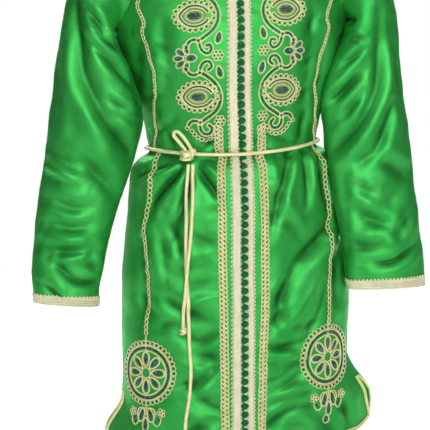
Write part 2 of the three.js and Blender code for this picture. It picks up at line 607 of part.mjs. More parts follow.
function sleeveSheet(side, front, back) {
  const table = SLEEVE[side].map((row, index) => ({ ...row, index }));
  const read = Object.fromEntries(
    ["outX", "outZ", "inX", "inZ", "y", "deep"].map((key) => [key, through(table, "index", key)]),
  );
  const armhole = armholeRing(side, front, back);
  const steps = armhole.length;
  const rings = [armhole];
  const centres = [armhole.reduce((sum, point) => sum.add(point), vec(0, 0, 0)).divideScalar(steps)];
  const places = [];
  for (let k = 1; k <= SLEEVE_RINGS; k += 1) places.push((k / SLEEVE_RINGS) * (table.length - 1));
  places.splice(-1, 0, table.length - 1 - CUFF_BRAID_WIDTH / 32);
  for (const place of places) {
    const outer = vec(side * read.outX(place), read.y(place), read.outZ(place));
    const inner = vec(side * read.inX(place), read.y(place), read.inZ(place));
    const centre = outer.clone().lerp(inner, 0.5);
    const reach = outer.clone().sub(inner).multiplyScalar(0.5);
    const blend = THREE.MathUtils.smoothstep(place, -0.6, 3.2);
    const clearance = SLEEVE_CLEARANCE * THREE.MathUtils.smoothstep(place, 0, 3) + 1.2;
    const ring = armhole.map((start, j) => {
      const turn = (2 * Math.PI * j) / steps;
      const point = centre.clone().addScaledVector(reach, Math.cos(turn));
      point.y -= read.deep(place) * Math.sin(turn);
      const mixed = start.clone().lerp(point, blend);
      return clearOfBody(mixed, side, clearance);
    });
    rings.push(ring);
    centres.push(centre);
  }
  const hollow = () => centres[rings.length >> 1];
  const sheet = { grid: rings, normals: normalsOf(rings, true, hollow), isRing: true };
  const seam = rings[0].map((point) => point.clone());
  crease(sheet);
  sheet.grid = rings.map((ring, i) =>
    ring.map((point) => clearOfBody(point, side, Math.min(1.5 * i, SLEEVE_CLEARANCE))),
  );
  sheet.grid[0] = seam;
  sheet.normals = normalsOf(sheet.grid, true, hollow);
  return sheet;
}

const sheets = { front: { 1: frontSheet(1), [-1]: frontSheet(-1) }, back: backSheet() };
setNormals(sheets.front, sheets.back);
[sheets.front[1], sheets.front[-1], sheets.back].forEach(crease);
setNormals(sheets.front, sheets.back);
sheets.sleeve = {
  1: sleeveSheet(1, sheets.front[1], sheets.back),
  [-1]: sleeveSheet(-1, sheets.front[-1], sheets.back),
};

// Manifold solids, for pieces that are joined
function solidOf(geometry) {
  const bare = new THREE.BufferGeometry();
  const loose = geometry.index ? geometry.toNonIndexed() : geometry;
  bare.setAttribute("position", loose.getAttribute("position"));
  const merged = mergeVertices(bare, MERGE);
  const mesh = new wasm.Mesh({
    numProp: 3,
    vertProperties: merged.getAttribute("position").array,
    triVerts: new Uint32Array(merged.index.array),
  });
  return new wasm.Manifold(mesh);
}

function geometryOf(solid) {
  const mesh = solid.getMesh();
  const geometry = new THREE.BufferGeometry();
  geometry.setAttribute("position", new THREE.BufferAttribute(new Float32Array(mesh.vertProperties), 3));
  geometry.setIndex([...mesh.triVerts]);
  return geometry;
}

const joined = (geometries) => geometryOf(wasm.Manifold.union(geometries.map(solidOf)));

// A cord: a round section carried along a smooth curve through the points
function cord(points, radius, steps, sides = 6) {
  const section = new THREE.Shape();
  for (let k = 0; k < sides; k += 1) {
    const turn = (2 * Math.PI * k) / sides;
    const [x, y] = [radius * Math.cos(turn), radius * Math.sin(turn)];
    if (k === 0) section.moveTo(x, y);
    else section.lineTo(x, y);
  }
  section.closePath();
  const extrudePath = new THREE.CatmullRomCurve3(points, false, "centripetal");
  return new THREE.ExtrudeGeometry(section, { extrudePath, steps, bevelEnabled: false });
}

// A panel's outer face, which points can be dropped onto
function outerFace(sheet) {
  const [rows, columns] = [sheet.grid.length, sheet.grid[0].length];
  const geometry = new THREE.BufferGeometry();
  const flat = (grid) => new Float32Array(grid.flat().flatMap((point) => point.toArray()));
  geometry.setAttribute("position", new THREE.BufferAttribute(flat(sheet.grid), 3));
  geometry.setAttribute("normal", new THREE.BufferAttribute(flat(sheet.normals), 3));
  const index = [];
  for (let i = 0; i + 1 < rows; i += 1) {
    for (let j = 0; j + 1 < columns; j += 1) {
      const a = i * columns + j;
      index.push(a, a + 1, a + columns + 1, a, a + columns + 1, a + columns);
    }
  }
  geometry.setIndex(index);
  return new THREE.Mesh(geometry, new THREE.MeshStandardMaterial({ side: THREE.DoubleSide }));
}

const faces = { 1: outerFace(sheets.front[1]), [-1]: outerFace(sheets.front[-1]) };
const caster = new THREE.Raycaster();

// The point of a front at that x and height, moved out along the face's normal
function onFront(x, z, out) {
  caster.set(vec(x, -400, z), vec(0, 1, 0));
  const [hit] = caster.intersectObjects([faces[1], faces[-1]], false);
  if (!hit) throw new Error(`no cloth at x ${x.toFixed(1)}, z ${z.toFixed(1)}`);
  const normal = hit.normal.clone();
  if (normal.y > 0) normal.negate();
  return hit.point.clone().addScaledVector(normal, out);
}

// The x that lies that distance from the opening, measured round the section at height z
function xFromOpening(side, distance, z) {
  let angle = angleAtShare((side * opening(z)) / halfWidth(z));
  for (let k = 0; k < 12; k += 1) angle = angleBeyond(side, angle, z, distance / 12);
  return sectionPoint(side, angle, z).x;
}

// Flat outlines, as distances from the opening and heights
const outline = (points) => new THREE.Shape(points.map(([u, v]) => new THREE.Vector2(u, v)));

// The points of an ellipse, every second one moved out by the scallop's share
function oval(u, v, width, height, tilt = 0, count = 12, scallop = 0) {
  const [c, s] = [Math.cos(tilt * DEG), Math.sin(tilt * DEG)];
  return Array.from({ length: count }, (_, k) => {
    const turn = (2 * Math.PI * k) / count;
    const out = 1 + (k % 2 ? scallop : 0);
    const [x, y] = [width * out * Math.cos(turn), height * out * Math.sin(turn)];
    return [u + x * c - y * s, v + x * s + y * c];
  });
}

function ring(outer, inner) {
  const shape = outline(outer);
  shape.holes.push(outline(inner));
  return shape;
}

// The short lengths of a band of constant width along a smooth line
function stroke(points, width, count) {
  const line = new THREE.SplineCurve(points.map(([u, v]) => new THREE.Vector2(u, v)));
  const edges = Array.from({ length: count + 1 }, (_, k) => {
    const point = line.getPoint(k / count);
    const ahead = line.getTangent(k / count);
    const across = new THREE.Vector2(-ahead.y, ahead.x).multiplyScalar(width / 2);
    return [point.clone().add(across).toArray(), point.clone().sub(across).toArray()];
  });
  return edges.slice(1).map(([left, right], k) => outline([edges[k][1], right, left, edges[k][0]]));
}

// The closed solid of joined outlines laid on a front
function applique(side, outlines, rise = 0) {
  const flat = (shape) => new THREE.ExtrudeGeometry(shape, { depth: EMBROIDERY, bevelEnabled: false });
  const splitter = new TessellateModifier(EMBROIDERY_EDGE, EMBROIDERY_SPLITS);
  const loose = splitter.modify(joined(outlines.flat().map(flat)));
  const laid = loose.getAttribute("position");
  for (let i = 0; i < laid.count; i += 1) {
    const z = laid.getY(i) + rise;
    const point = onFront(xFromOpening(side, laid.getX(i), z), z, EMBROIDERY_GAP + laid.getZ(i));
    laid.setXYZ(i, ...point.toArray());
  }
  return facingOut(mergeVertices(new THREE.BufferGeometry().setAttribute("position", laid), MERGE));
}

// Materials
function finish(color, roughness, metalness) {
  return new THREE.MeshStandardMaterial({ color, roughness, metalness });
}
const SATIN = finish("#1f9a3c", 0.38, 0.25);
const GOLD_BRAID = finish("#e6dba6", 0.5, 0.25);
const GOLD_CORD = finish("#dccb84", 0.45, 0.35);
const KNOT_SILK = finish("#0c6b2c", 0.55, 0.05);

const tunic = new THREE.Group();
tunic.name = "tunic";

// Adds a named piece, lifted with the wearer's left shoulder
function add(name, geometry, material) {
  const position = geometry.getAttribute("position");
  for (let i = 0; i < position.count; i += 1) position.setZ(i, position.getZ(i) + LIFT * position.getX(i));
  geometry.computeVertexNormals();
  const mesh = new THREE.Mesh(geometry, material);
  mesh.name = name;
  tunic.add(mesh);
}

const SIDE_NAME = { 1: "left", [-1]: "right" };
const lastRow = rowHeights.length + YOKE_RISES.length - 1;
const COLUMN = { first: 0, second: 1, doubleChain: 3, sideChain: 8, trim: 12 };
const chainTopRow = rowHeights.length + 1;

for (const side of [1, -1]) {
  const name = SIDE_NAME[side];
  const front = sheets.front[side];
  const heightOf = (i) => rowHeights[i] ?? 0;
  add(`front_${name}`, wall(front), SATIN);
  add(`sleeve_${name}`, wall(sheets.sleeve[side]), SATIN);
  const braidColumn = side > 0 ? COLUMN.second : COLUMN.first;
  add(`placket_braid_${name}`, band(front, (i, j) => j === braidColumn && i < lastRow - 1), GOLD_BRAID);
  const isNeck = (i, j) => i === lastRow - 1 && front.topColumns[j] < NECK_HALF_WIDTH;
  add(`neck_braid_${name}`, band(front, isNeck), GOLD_BRAID);
  add(
    `double_chain_${name}`,
    band(front, (i, j) => j === COLUMN.doubleChain && i > 0 && heightOf(i + 1) <= DOUBLE_CHAIN_TOP_Z),
    GOLD_CORD,
  );
  const isChain = (i, j) => j === COLUMN.sideChain && heightOf(i) >= CHAIN_END_Z && i < chainTopRow;
  add(`side_chain_${name}`, band(front, isChain), GOLD_CORD);
  const isTrim = (i, j) => i === 0 || (j === COLUMN.trim && heightOf(i + 1) <= SLIT_TOP_Z);
  add(`hem_trim_${name}`, band(front, (i, j) => isTrim(i, j) && j > (side > 0 ? 1 : 0)), GOLD_CORD);
  const rings = sheets.sleeve[side].grid.length;
  add(`cuff_braid_${name}`, band(sheets.sleeve[side], (i) => i === rings - 2), GOLD_BRAID);
}
add("back", wall(sheets.back), SATIN);
const backColumns = sheets.back.grid[0].length;
const isSlit = (i, j) => (j === 0 || j === backColumns - 2) && rowHeights[i + 1] <= SLIT_TOP_Z;
const isBackTrim = (i, j) => i === 0 || isSlit(i, j);
add("hem_trim_back", band(sheets.back, isBackTrim), GOLD_CORD);
const topOf = (j) => Math.max(sheets.back.topColumns[j], sheets.back.topColumns[j + 1]);
const isBackNeck = (i, j) => i === lastRow - 1 && topOf(j) <= NECK_HALF_WIDTH;
add("neck_braid_back", band(sheets.back, isBackNeck), GOLD_BRAID);

// The point and the normal of a sheet's column at height z
function onColumn(sheet, column, z) {
  const { grid, normals } = sheet;
  const i = grid.findIndex((row, k) => k + 1 < grid.length && z <= grid[k + 1][column].z);
  const [low, high] = [grid[i][column], grid[i + 1][column]];
  const part = (z - low.z) / (high.z - low.z);
  const point = low.clone().lerp(high, part);
  return { point, normal: normals[i][column].clone().lerp(normals[i + 1][column], part).normalize() };
}

// The strip of silk knots along the wearer's left front: two rows of points to each knot
function knotStrip() {
  const front = sheets.front[1];
  const { bottom, belowNeck, gap, columns } = KNOT_STRIP;
  const top = front.grid[lastRow - 1][0].z - belowNeck;
  const knots = Math.round((top - bottom) / KNOT_PITCH);
  const grid = [];
  const normals = [];
  for (let k = 0; k <= knots * 2; k += 1) {
    const z = lerp(bottom, top, k / (knots * 2));
    const [inner, outer] = [onColumn(front, COLUMN.first, z), onColumn(front, COLUMN.first + 1, z)];
    const facing = columns.map((share) => inner.normal.clone().lerp(outer.normal, share).normalize());
    const on = columns.map((share) => inner.point.clone().lerp(outer.point, share));
    grid.push(on.map((point, j) => point.addScaledVector(facing[j], gap)));
    const height = (j) => BRAID + (k % 2 && j === 1 ? KNOT_HEIGHT : 0);
    normals.push(facing.map((normal, j) => normal.clone().multiplyScalar(height(j))));
  }
  return slab({ grid, normals, isRing: false }, 0, 1);
}
add("knot_buttons", knotStrip(), KNOT_SILK);

// The scrolls on the chest, as distances from the opening and heights, both in millimetres
const EYES = [
  { u: 70, v: -196 },
  { u: 64, v: -325.5 },
];
const STEM = 9.5;
const STEMS = [
  [[58, -163], [47, -168], [37, -178], [31.5, -193], [33, -207], [41, -220], [53, -229.5], [64, -236.5]],
  [
    [61, -286], [49, -293], [38, -303], [31, -314], [28, -328],
    [30.5, -341], [39, -352.5], [51, -361], [62, -368.5],
  ],
];
const SCROLLS = [
  [[63, -234], [60.5, -246], [55, -254], [47, -256.5], [42.5, -250], [45, -243], [50.5, -244]],
  [[61, -288], [59, -277], [53, -270], [45, -270.5], [42, -278], [47, -283]],
  [[62, -366], [62, -378], [56, -386], [47, -386], [43, -378], [48, -372.5]],
  [[63, -236], [72, -234], [79, -238], [83, -247]],
  [[61, -287], [70, -290.5], [78, -287.5], [84, -279]],
  [[62, -367], [71, -364.5], [78, -366.5], [81, -371]],
];
const LEAVES = [
  { u: 31, v: -232, width: 4.5, height: 9, tilt: 12, stalk: [[32, -236], [43, -249]] },
  { u: 29, v: -287, width: 4.5, height: 9, tilt: -14, stalk: [[30, -284], [42, -275]] },
];
const FAN = {
  u: 77, v: -263, width: 9.5, height: 6.5,
  petals: 5, spread: 36, reachX: 17.5, reachZ: 14, long: 8.5, wide: 4.4,
};
const FLOWERS = [
  { u: 31.5, v: -260.5, stalk: [[31.5, -260.5], [46, -262.3], [77, -263]] },
  { u: 29.5, v: -366, stalk: [[29.5, -366], [45, -377.5]] },
];
// How much higher, and further from the opening, they lie on the wearer's left
const CHEST_RISE = { 1: 5, [-1]: 0 };
const CHEST_SHIFT = { 1: 11, [-1]: 0 };
const SCROLL = 6.5;

for (const side of [1, -1]) {
  const shift = CHEST_SHIFT[side];
  const outlines = [];
  const at = (points) => points.map(([u, v]) => [u + shift, v]);
  const leafAt = (u, v, ...rest) => outlines.push(outline(oval(u + shift, v, ...rest)));
  EYES.forEach(({ u, v }) => {
    outlines.push(ring(oval(u + shift, v, 33, 24.5, 0, 16, 0.12), oval(u + shift, v, 20, 13, 0, 8)));
    leafAt(u, v, 12.5, 8, 0, 6);
    outlines.push(stroke(at([[u - 24, v], [u - 8, v]]), 5, 1));
  });
  STEMS.forEach((line) => outlines.push(stroke(at(line), STEM, 6)));
  SCROLLS.forEach((line) => outlines.push(stroke(at(line), SCROLL, 4)));
  LEAVES.forEach((leaf) => leafAt(leaf.u, leaf.v, leaf.width, leaf.height, leaf.tilt, 6));
  FLOWERS.forEach((flower) => leafAt(flower.u, flower.v, 6.5, 6.5, 0, 8));
  [...LEAVES, ...FLOWERS].forEach(({ stalk }) => outlines.push(stroke(at(stalk), 4, stalk.length - 1)));
  leafAt(FAN.u, FAN.v, FAN.width, FAN.height, 0, 6);
  for (let k = 0; k < FAN.petals; k += 1) {
    const turn = (k - (FAN.petals - 1) / 2) * FAN.spread;
    const [c, s] = [Math.cos(turn * DEG), Math.sin(turn * DEG)];
    leafAt(FAN.u + FAN.reachX * c, FAN.v + FAN.reachZ * s, FAN.long, FAN.wide, turn, 6);
  }
  add(`chest_embroidery_${SIDE_NAME[side]}`, applique(side, outlines, CHEST_RISE[side]), GOLD_CORD);
}

// The wheels of petals that end the side chains, each with a spray of leaves below it
const WHEEL = {
  radius: 54, inner: 38, petals: 8, petalFrom: 9, petalWidth: 7.2, overRing: 1.5, eye: 12, eyeHole: 7.5,
};
const WHEELS = { 1: { x: 159.5, z: -770 }, [-1]: { x: -144, z: -778 } };
const SPRAY = {
  leaf: { u: 8, v: -69, width: 6, height: 13, tilt: 14 },
  curl: [[8, -80], [14, -87], [22, -85], [26, -74]],
  flower: { u: 27, v: -70, radius: 6 },
  heart: { v: -86, width: 5, height: 14 },
};

function distanceFromOpening(side, x, z) {
  let [low, high] = [0, 230];
  for (let k = 0; k < 24; k += 1) {
    const middle = (low + high) / 2;
    if (side * (xFromOpening(side, middle, z) - x) < 0) low = middle;
    else high = middle;
  }
  return low;
}

for (const side of [1, -1]) {
  const centre = WHEELS[side];
  const u = distanceFromOpening(side, centre.x, centre.z);
  const about = (du, dv, ...rest) => oval(u + du, centre.z + dv, ...rest);
  const circle = (radius, ...rest) => about(0, 0, radius, radius, 0, ...rest);
  const outlines = [ring(circle(WHEEL.radius, 24, 0.06), circle(WHEEL.inner, 12))];
  const petalTo = WHEEL.inner + WHEEL.overRing;
  const [middle, half] = [(WHEEL.petalFrom + petalTo) / 2, (petalTo - WHEEL.petalFrom) / 2];
  for (let k = 0; k < WHEEL.petals; k += 1) {
    const turn = (360 * k) / WHEEL.petals;
    const [c, s] = [Math.cos(turn * DEG), Math.sin(turn * DEG)];
    outlines.push(outline(about(middle * c, middle * s, half, WHEEL.petalWidth, turn, 6)));
  }
  outlines.push(ring(circle(WHEEL.eye, 8), circle(WHEEL.eyeHole, 6)));
  const { leaf, curl, flower, heart } = SPRAY;
  for (const hand of [1, -1]) {
    outlines.push(outline(about(hand * leaf.u, leaf.v, leaf.width, leaf.height, hand * leaf.tilt, 8)));
    const line = curl.map(([du, dv]) => [u + hand * du, centre.z + dv]);
    outlines.push(stroke(line, 5.5, 4));
    outlines.push(outline(about(hand * flower.u, flower.v, flower.radius, flower.radius, 0, 8)));
  }
  outlines.push(outline(about(0, heart.v, heart.width, heart.height, 0, 6)));
  outlines.push(stroke([[u, centre.z - 50], [u, centre.z + heart.v]], 4, 2));
  add(`rosette_${SIDE_NAME[side]}`, applique(side, outlines), GOLD_CORD);
}

// A point of the belt's line, at that angle round the waist
function beltPoint(side, angle) {
  const c = Math.cos(angle * DEG);
  const z = BELT.sideZ - (c > 0 ? BELT.frontSag : -BELT.backRise) * c * c;
  const point = sectionPoint(side, angle, z);
  const outward = point.clone().sub(vec(lean(z), 0, z)).normalize();
  const fromKnots = (point.x - xFromOpening(1, BELT.knotsAt, z)) / BELT.knotsSpread;
  const overKnots = c > 0 ? BELT.overKnots * Math.exp(-(fromKnots ** 2)) : 0;
  return point.addScaledVector(outward, CORD_RADIUS + BELT.clearance + SEAM_GAP + BRAID + overKnots);
}

// The points over the front along a route, close enough together to follow the cloth
function along(route) {
  const points = [];
  route.forEach((to, i) => {
    if (i === 0) return;
    const from = route[i - 1];
    const steps = Math.ceil(Math.hypot(to[0] - from[0], to[1] - from[1]) / ROUTE_STEP);
    for (let k = i === 1 ? 0 : 1; k <= steps; k += 1) {
      const [x, z, out] = from.map((value, axis) => lerp(value, to[axis], k / steps));
      points.push(onFront(x, z, out));
    }
  });
  return points;
}

function beltPieces() {
  const start = angleAtShare((lean(KNOT.z) - KNOT.x) / halfWidth(KNOT.z));
  const line = [];
  const { step } = BELT;
  for (let angle = start; angle > step / 2; angle -= step) line.push(beltPoint(-1, angle));
  for (let angle = 0; angle < 180; angle += step) line.push(beltPoint(1, angle));
  for (let angle = 180; angle > start; angle -= step) line.push(beltPoint(-1, angle));
  line.push(beltPoint(-1, start));
  const centre = onFront(KNOT.x, KNOT.z, KNOT.out);
  const core = new THREE.IcosahedronGeometry(KNOT.radius, 1).scale(1, 0.9, 1.05);
  const wrap = cord([vec(-9.5, 3, -5), vec(-5, -6.5, -6), vec(4, -7, -6), vec(9.5, 2, -5)], 3, 6, 5);
  const twist = cord([vec(3, 2, 4), vec(6, -6, 9), vec(12, -4, 8), vec(13, 2, 1)], 2.9, 6, 5);
  const over = cord([vec(-9, 0, 7), vec(-5, -7.5, 4), vec(3, -8, 0), vec(8, -3, -4)], 2.9, 6, 5);
  const pieces = [core, wrap, twist, over];
  pieces.forEach((piece) => piece.translate(centre.x, centre.y, centre.z));
  return [cord(line, CORD_RADIUS, 38), cord(along(BOW), CORD_RADIUS * 0.95, 18, 5), ...pieces];
}

add("belt", joined(beltPieces()), GOLD_CORD);
for (const [name, route] of Object.entries(ENDS)) {
  add(`belt_end_${name}`, cord(along(route), CORD_RADIUS, END_STEPS[name], 8), GOLD_CORD);
  const [x, z, out] = route.at(-1);
  const { radius, height, flatness } = END_KNOT;
  const tip = new THREE.IcosahedronGeometry(radius, 1).scale(1, flatness, height / radius);
  const place = onFront(x, z - END_KNOT.height - SEAM_GAP, out + END_KNOT.out);
  add(`belt_tip_${name}`, tip.translate(place.x, place.y, place.z), GOLD_CORD);
}

export default tunic;
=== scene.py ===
"""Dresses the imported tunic: creased satin, gold cord and bead embroidery, braids, silk knots and a cord belt.

The cut and the stitching are in millimetres, in the part's own frame before the wearer's left shoulder is
lifted, and lifted() turns them into the scene's metres. +Z is up, the front faces -Y, and side 1 is the
wearer's left, at +X.
"""

import math

import bpy
import numpy as np
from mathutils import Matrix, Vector, noise
from mathutils.bvhtree import BVHTree


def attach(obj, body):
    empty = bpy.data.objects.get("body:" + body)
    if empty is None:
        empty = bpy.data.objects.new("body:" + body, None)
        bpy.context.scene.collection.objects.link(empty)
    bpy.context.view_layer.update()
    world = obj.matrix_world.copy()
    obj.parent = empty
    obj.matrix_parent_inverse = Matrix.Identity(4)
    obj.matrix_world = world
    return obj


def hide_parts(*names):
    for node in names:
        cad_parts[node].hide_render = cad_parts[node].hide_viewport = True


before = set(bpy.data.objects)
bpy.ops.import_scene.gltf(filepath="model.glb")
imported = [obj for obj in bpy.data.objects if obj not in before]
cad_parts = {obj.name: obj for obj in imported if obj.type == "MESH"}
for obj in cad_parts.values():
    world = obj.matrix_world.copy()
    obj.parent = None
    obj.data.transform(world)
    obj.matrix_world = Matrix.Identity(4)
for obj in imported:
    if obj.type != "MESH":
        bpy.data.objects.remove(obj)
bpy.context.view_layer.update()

MM = 0.001
LIFT = 0.045
CLOTH = 1.4
DEG = math.pi / 180
SIDES = {1: "left", -1: "right"}

# The cut, as in the part's source
HEM_Z, SLIT_TOP_Z, UNDERARM_Z = -912, -816, -215
HEM_RISE = {"from": -790, 1: 24, -1: 16}
NECK_DROP = {"front": 92, "back": 26}
NECK_HALF_WIDTH = 78
TIP_X, TIP_Z = 190, -48
SHOULDER_ROUNDING = 115
SEAM_GAP = 0.3
BODY_COLUMNS = ("z", "side", "front", "back", "lean", "opening")
BODY = [
    (0, 212, 50, 70, 0, 0), (-90, 209, 74, 92, 2, 0), (-150, 206, 97, 106, 4, -1),
    (-215, 198, 115, 110, 6, -4), (-270, 181, 121, 104, 7, -6), (-320, 164, 114, 96, 8, -6),
    (-360, 151, 104, 88, 10, -5.5), (-400, 143.2, 92, 78, 11, -4), (-410, 141.2, 89, 75, 11, -3.5),
    (-418, 143, 89.5, 75.5, 11.5, -3), (-428, 161, 95, 84, 12, -3), (-440, 170, 99, 90, 12, -3),
    (-470, 175, 104, 99, 12, -3), (-520, 181, 108, 107, 13, -3.5), (-600, 191, 111, 118, 15, -6),
    (-660, 195, 113, 121, 17, -7.5), (-760, 194, 116, 122, 16, -7), (HEM_Z, 195, 124, 127, 15, -7),
]
WAIST = {"z": -410, "front_sag": 13.5, "back_rise": 3, "spread": 60}
ROUNDNESS = 2.2
FLARE = {1: (-768, -862, 42), -1: (-832, -900, 26)}
SEAM_COLUMNS = ("z", 1, -1)
SEAM = [(UNDERARM_Z, 89, 89), (-420, 84, 87), (-600, 78, 86), (SLIT_TOP_Z, 72, 84), (HEM_Z, 72, 84)]
SLIT_GAPE = {1: {"front": 8, "back": 18}, -1: {"front": 2, "back": 8}}
CHAIN_LINE = [
    (-215, 0.77, 0.777), (-254, 0.775, 0.774), (-290, 0.785, 0.778), (-320, 0.825, 0.825),
    (-345, 0.868, 0.885), (-380, 0.885, 0.93), (-408, 0.93, 0.945), (-440, 0.86, 0.832),
    (-500, 0.863, 0.84), (-543, 0.852, 0.85), (-600, 0.778, 0.82), (-660, 0.755, 0.815),
    (-728, 0.741, 0.817), (HEM_Z, 0.741, 0.81),
]
CHAIN_WIDTH = 9
CHAIN_END_Z = -714
FRONT_BANDS = {1: (10.8, 20.5), -1: (14.5, 18.5)}
DOUBLE_CHAIN = [(-380, 30, 25), (-500, 32, 24.5), (-660, 32.5, 23), (-770, 29, 21), (HEM_Z, 26.5, 19.5)]
DOUBLE_CHAIN_WIDTH = 13.5
DOUBLE_CHAIN_TOP_Z = -378
TRIM_WIDTH = 7
OPENING_GAP = 0.5
ARMHOLE_CURVE = {"front": 32, "back": 18}
BACK_SHARES = (0, 0.16, 0.34, 0.54, 0.76)
SLEEVE_COLUMNS = ("out_x", "out_z", "in_x", "in_z", "y", "deep")
SLEEVE = {
    1: [
        (190, -48, 198, -215, 0, 64), (217, -58, 199, -223, -3, 64), (246, -82, 191, -240, -13, 61),
        (267, -118, 176, -262, -25, 56), (279, -164, 163, -288, -33, 52), (285, -218, 153, -319, -37, 49),
        (290, -275, 153, -348, -38, 47), (298, -345, 158, -383, -41, 45), (307, -425, 162, -440, -45, 43),
        (316, -508, 174, -514, -56, 40), (323, -588, 188, -590, -67, 37), (326, -625, 192, -626, -72, 35),
        (327, -661, 196, -659, -76, 34),
    ],
    -1: [
        (190, -48, 198, -215, 0, 64), (214, -58, 199, -223, -3, 64), (238, -82, 191, -240, -13, 61),
        (257, -118, 174, -262, -26, 56), (270, -164, 160, -288, -33, 52), (280, -218, 149, -319, -36, 49),
        (288, -275, 144, -346, -36, 47), (298, -345, 146, -377, -37, 45), (309, -422, 161, -430, -37, 43),
        (321, -505, 189, -508, -45, 39), (329, -580, 210, -585, -54, 34), (329, -620, 218, -629, -59, 32),
        (326, -650, 222, -663, -62, 30),
    ],
}
YOKE_RISES = (0.125, 0.25, 0.375, 0.5, 0.625, 0.75, 0.87, 0.945, 1)
CUFF_BRAID_WIDTH = 16
SLEEVE_CLEARANCE = 3

# Folds as x0, z0, x1, z1, sideways bow, half width and height: the part's own largest ones come first
FRONT_FOLDS = [
    (-262, -165, -165, -425, -22, 15, -9), (-245, -190, -190, -395, -16, 16, 6),
    (-235, -150, -168, -300, -8, 13, -5),
    (-298, -580, -228, -618, 8, 13, -7), (-300, -548, -225, -556, -9, 14, 5), (-312, -520, -235, -532, -6, 14, -5),
    (276, -165, 178, -425, 26, 15, -8), (258, -200, 196, -390, 18, 16, 6), (240, -255, 180, -335, 10, 13, -6),
    (300, -470, 205, -560, 10, 16, -5),
    (-118, -205, -125, -395, 10, 13, -6), (138, -200, 122, -395, -12, 14, -7),
    (172, -545, 78, -700, -14, 15, -6), (-140, -470, -104, -640, -10, 17, 5), (-52, -600, -122, -640, -8, 15, -5),
    (-60, -720, -30, -800, 6, 16, -4), (66, -770, 120, -735, 6, 15, -5),
    # chest
    (-152, -232, -112, -246, -4, 5, -3.5), (-142, -262, -108, -282, 4, 6, 2.9), (-150, -330, -118, -318, 3, 5, -2.9),
    (-96, -362, -132, -392, -5, 6, -3.8), (-62, -392, -26, -420, 6, 6, -4.8), (-38, -352, -12, -372, 3, 5, -2.6),
    (148, -262, 118, -278, 4, 6, -3.2), (150, -308, 112, -336, 5, 7, -3.8), (60, -392, 104, -410, -5, 7, -4.2),
    (34, -398, 52, -414, 3, 5, 2.6), (128, -352, 150, -392, 4, 7, 3.2), (-8, -205, -14, -330, 4, 8, -2.6),
    # below the belt
    (-84, -436, -142, -498, 10, 7, -5.8), (-92, -434, -158, -462, 7, 6, 3.8), (-70, -446, -104, -540, 9, 8, -5.1),
    (-58, -440, -18, -492, -9, 7, -5.4), (-46, -436, -12, -462, -5, 5, 3.2), (-152, -432, -166, -505, 5, 9, -5.8),
    (-134, -426, -138, -470, 3, 6, 3.5), (-104, -552, -38, -566, 8, 9, -4.8), (-118, -586, -48, -584, -7, 9, 3.8),
    (-20, -505, -44, -516, 3, 5, -3.2), (150, -428, 164, -520, -8, 10, -4.8), (128, -424, 134, -486, 5, 7, 4.2),
    (96, -428, 70, -500, 8, 9, -4.2), (60, -432, 112, -540, -12, 10, 3.8), (52, -520, 108, -560, 8, 9, -3.8),
    (118, -590, 52, -655, 8, 9, 4.8), (150, -618, 96, -700, 9, 9, 4.2), (158, -650, 118, -735, 8, 9, -4.8),
    # skirt
    (-158, -640, -118, -690, -8, 9, -4.8), (-128, -706, -84, -690, 6, 7, -4.2), (-78, -668, -34, -652, 5, 7, 3.5),
    (-88, -640, -40, -628, 6, 8, -3.8), (-78, -736, -30, -752, -10, 9, -6.7), (-96, -756, -30, -782, -6, 8, 4.8),
    (-78, -800, -24, -842, -8, 9, -6.4), (-100, -830, -40, -872, 6, 9, 3.8), (-160, -860, -120, -900, 6, 9, -4.2),
    (54, -743, 100, -740, -6, 6, -5.1), (54, -756, 100, -756, -4, 6, 3.8), (54, -771, 108, -772, -9, 7, -5.8),
    (56, -822, 118, -784, -8, 9, -7.4), (52, -826, 124, -812, 6, 7, 5.4), (54, -840, 128, -826, 6, 7, -7.4),
    (84, -718, 142, -711, 4, 7, -4.8), (48, -690, 92, -676, 6, 7, 3.8), (46, -866, 120, -880, 8, 10, -4.8),
    (130, -848, 176, -902, -8, 10, -5.4), (150, -836, 196, -880, -6, 8, 3.8), (176, -700, 184, -800, 5, 9, -3.8),
    (-176, -560, -182, -680, -5, 9, -4.2), (186, -470, 186, -600, 5, 9, -3.8),
]
BACK_FOLDS = [
    (-262, -175, -175, -420, -22, 15, -7), (270, -175, 185, -420, 22, 15, -7), (-110, -240, -60, -400, 8, 16, -6),
    (118, -230, 66, -400, -8, 16, -6), (-70, -445, -100, -800, -8, 20, -7), (40, -450, 48, -780, 6, 20, -6),
    (120, -460, 142, -820, 8, 20, -6),
    (-30, -438, -34, -600, 5, 10, 4.5), (10, -436, 2, -560, -5, 9, -4.5), (-110, -436, -132, -560, 6, 9, 4.5),
    (-140, -440, -150, -620, 6, 11, -5.1), (84, -438, 92, -600, -6, 10, 4.5), (150, -440, 165, -600, 6, 11, -4.5),
    (-20, -300, -18, -400, 5, 10, -4.5), (20, -330, 26, -404, -4, 8, 3.9), (-84, -350, -52, -402, 5, 7, 3.6),
    (88, -350, 60, -402, -5, 7, 3.6), (-120, -150, -60, -175, -8, 12, -4.5), (120, -150, 60, -178, 8, 12, -4.5),
    (-90, -205, 92, -212, -18, 16, 3.6), (-50, -860, -90, -905, 8, 12, -4.5), (30, -820, 60, -900, -6, 12, 4.5),
    (-292, -250, -250, -395, -10, 12, 4.5), (300, -300, 255, -430, 10, 13, 4.5),
    (-300, -540, -235, -560, -9, 12, 4.5),
    (-312, -575, -236, -600, -8, 11, -5.1), (310, -520, 240, -545, 8, 12, -5.1), (312, -580, 230, -604, 8, 11, 4.5),
    (-262, -405, -178, -428, -6, 7, 3.6), (-250, -385, -170, -412, -5, 7, -3.9), (262, -400, 190, -430, 6, 7, 3.6),
]
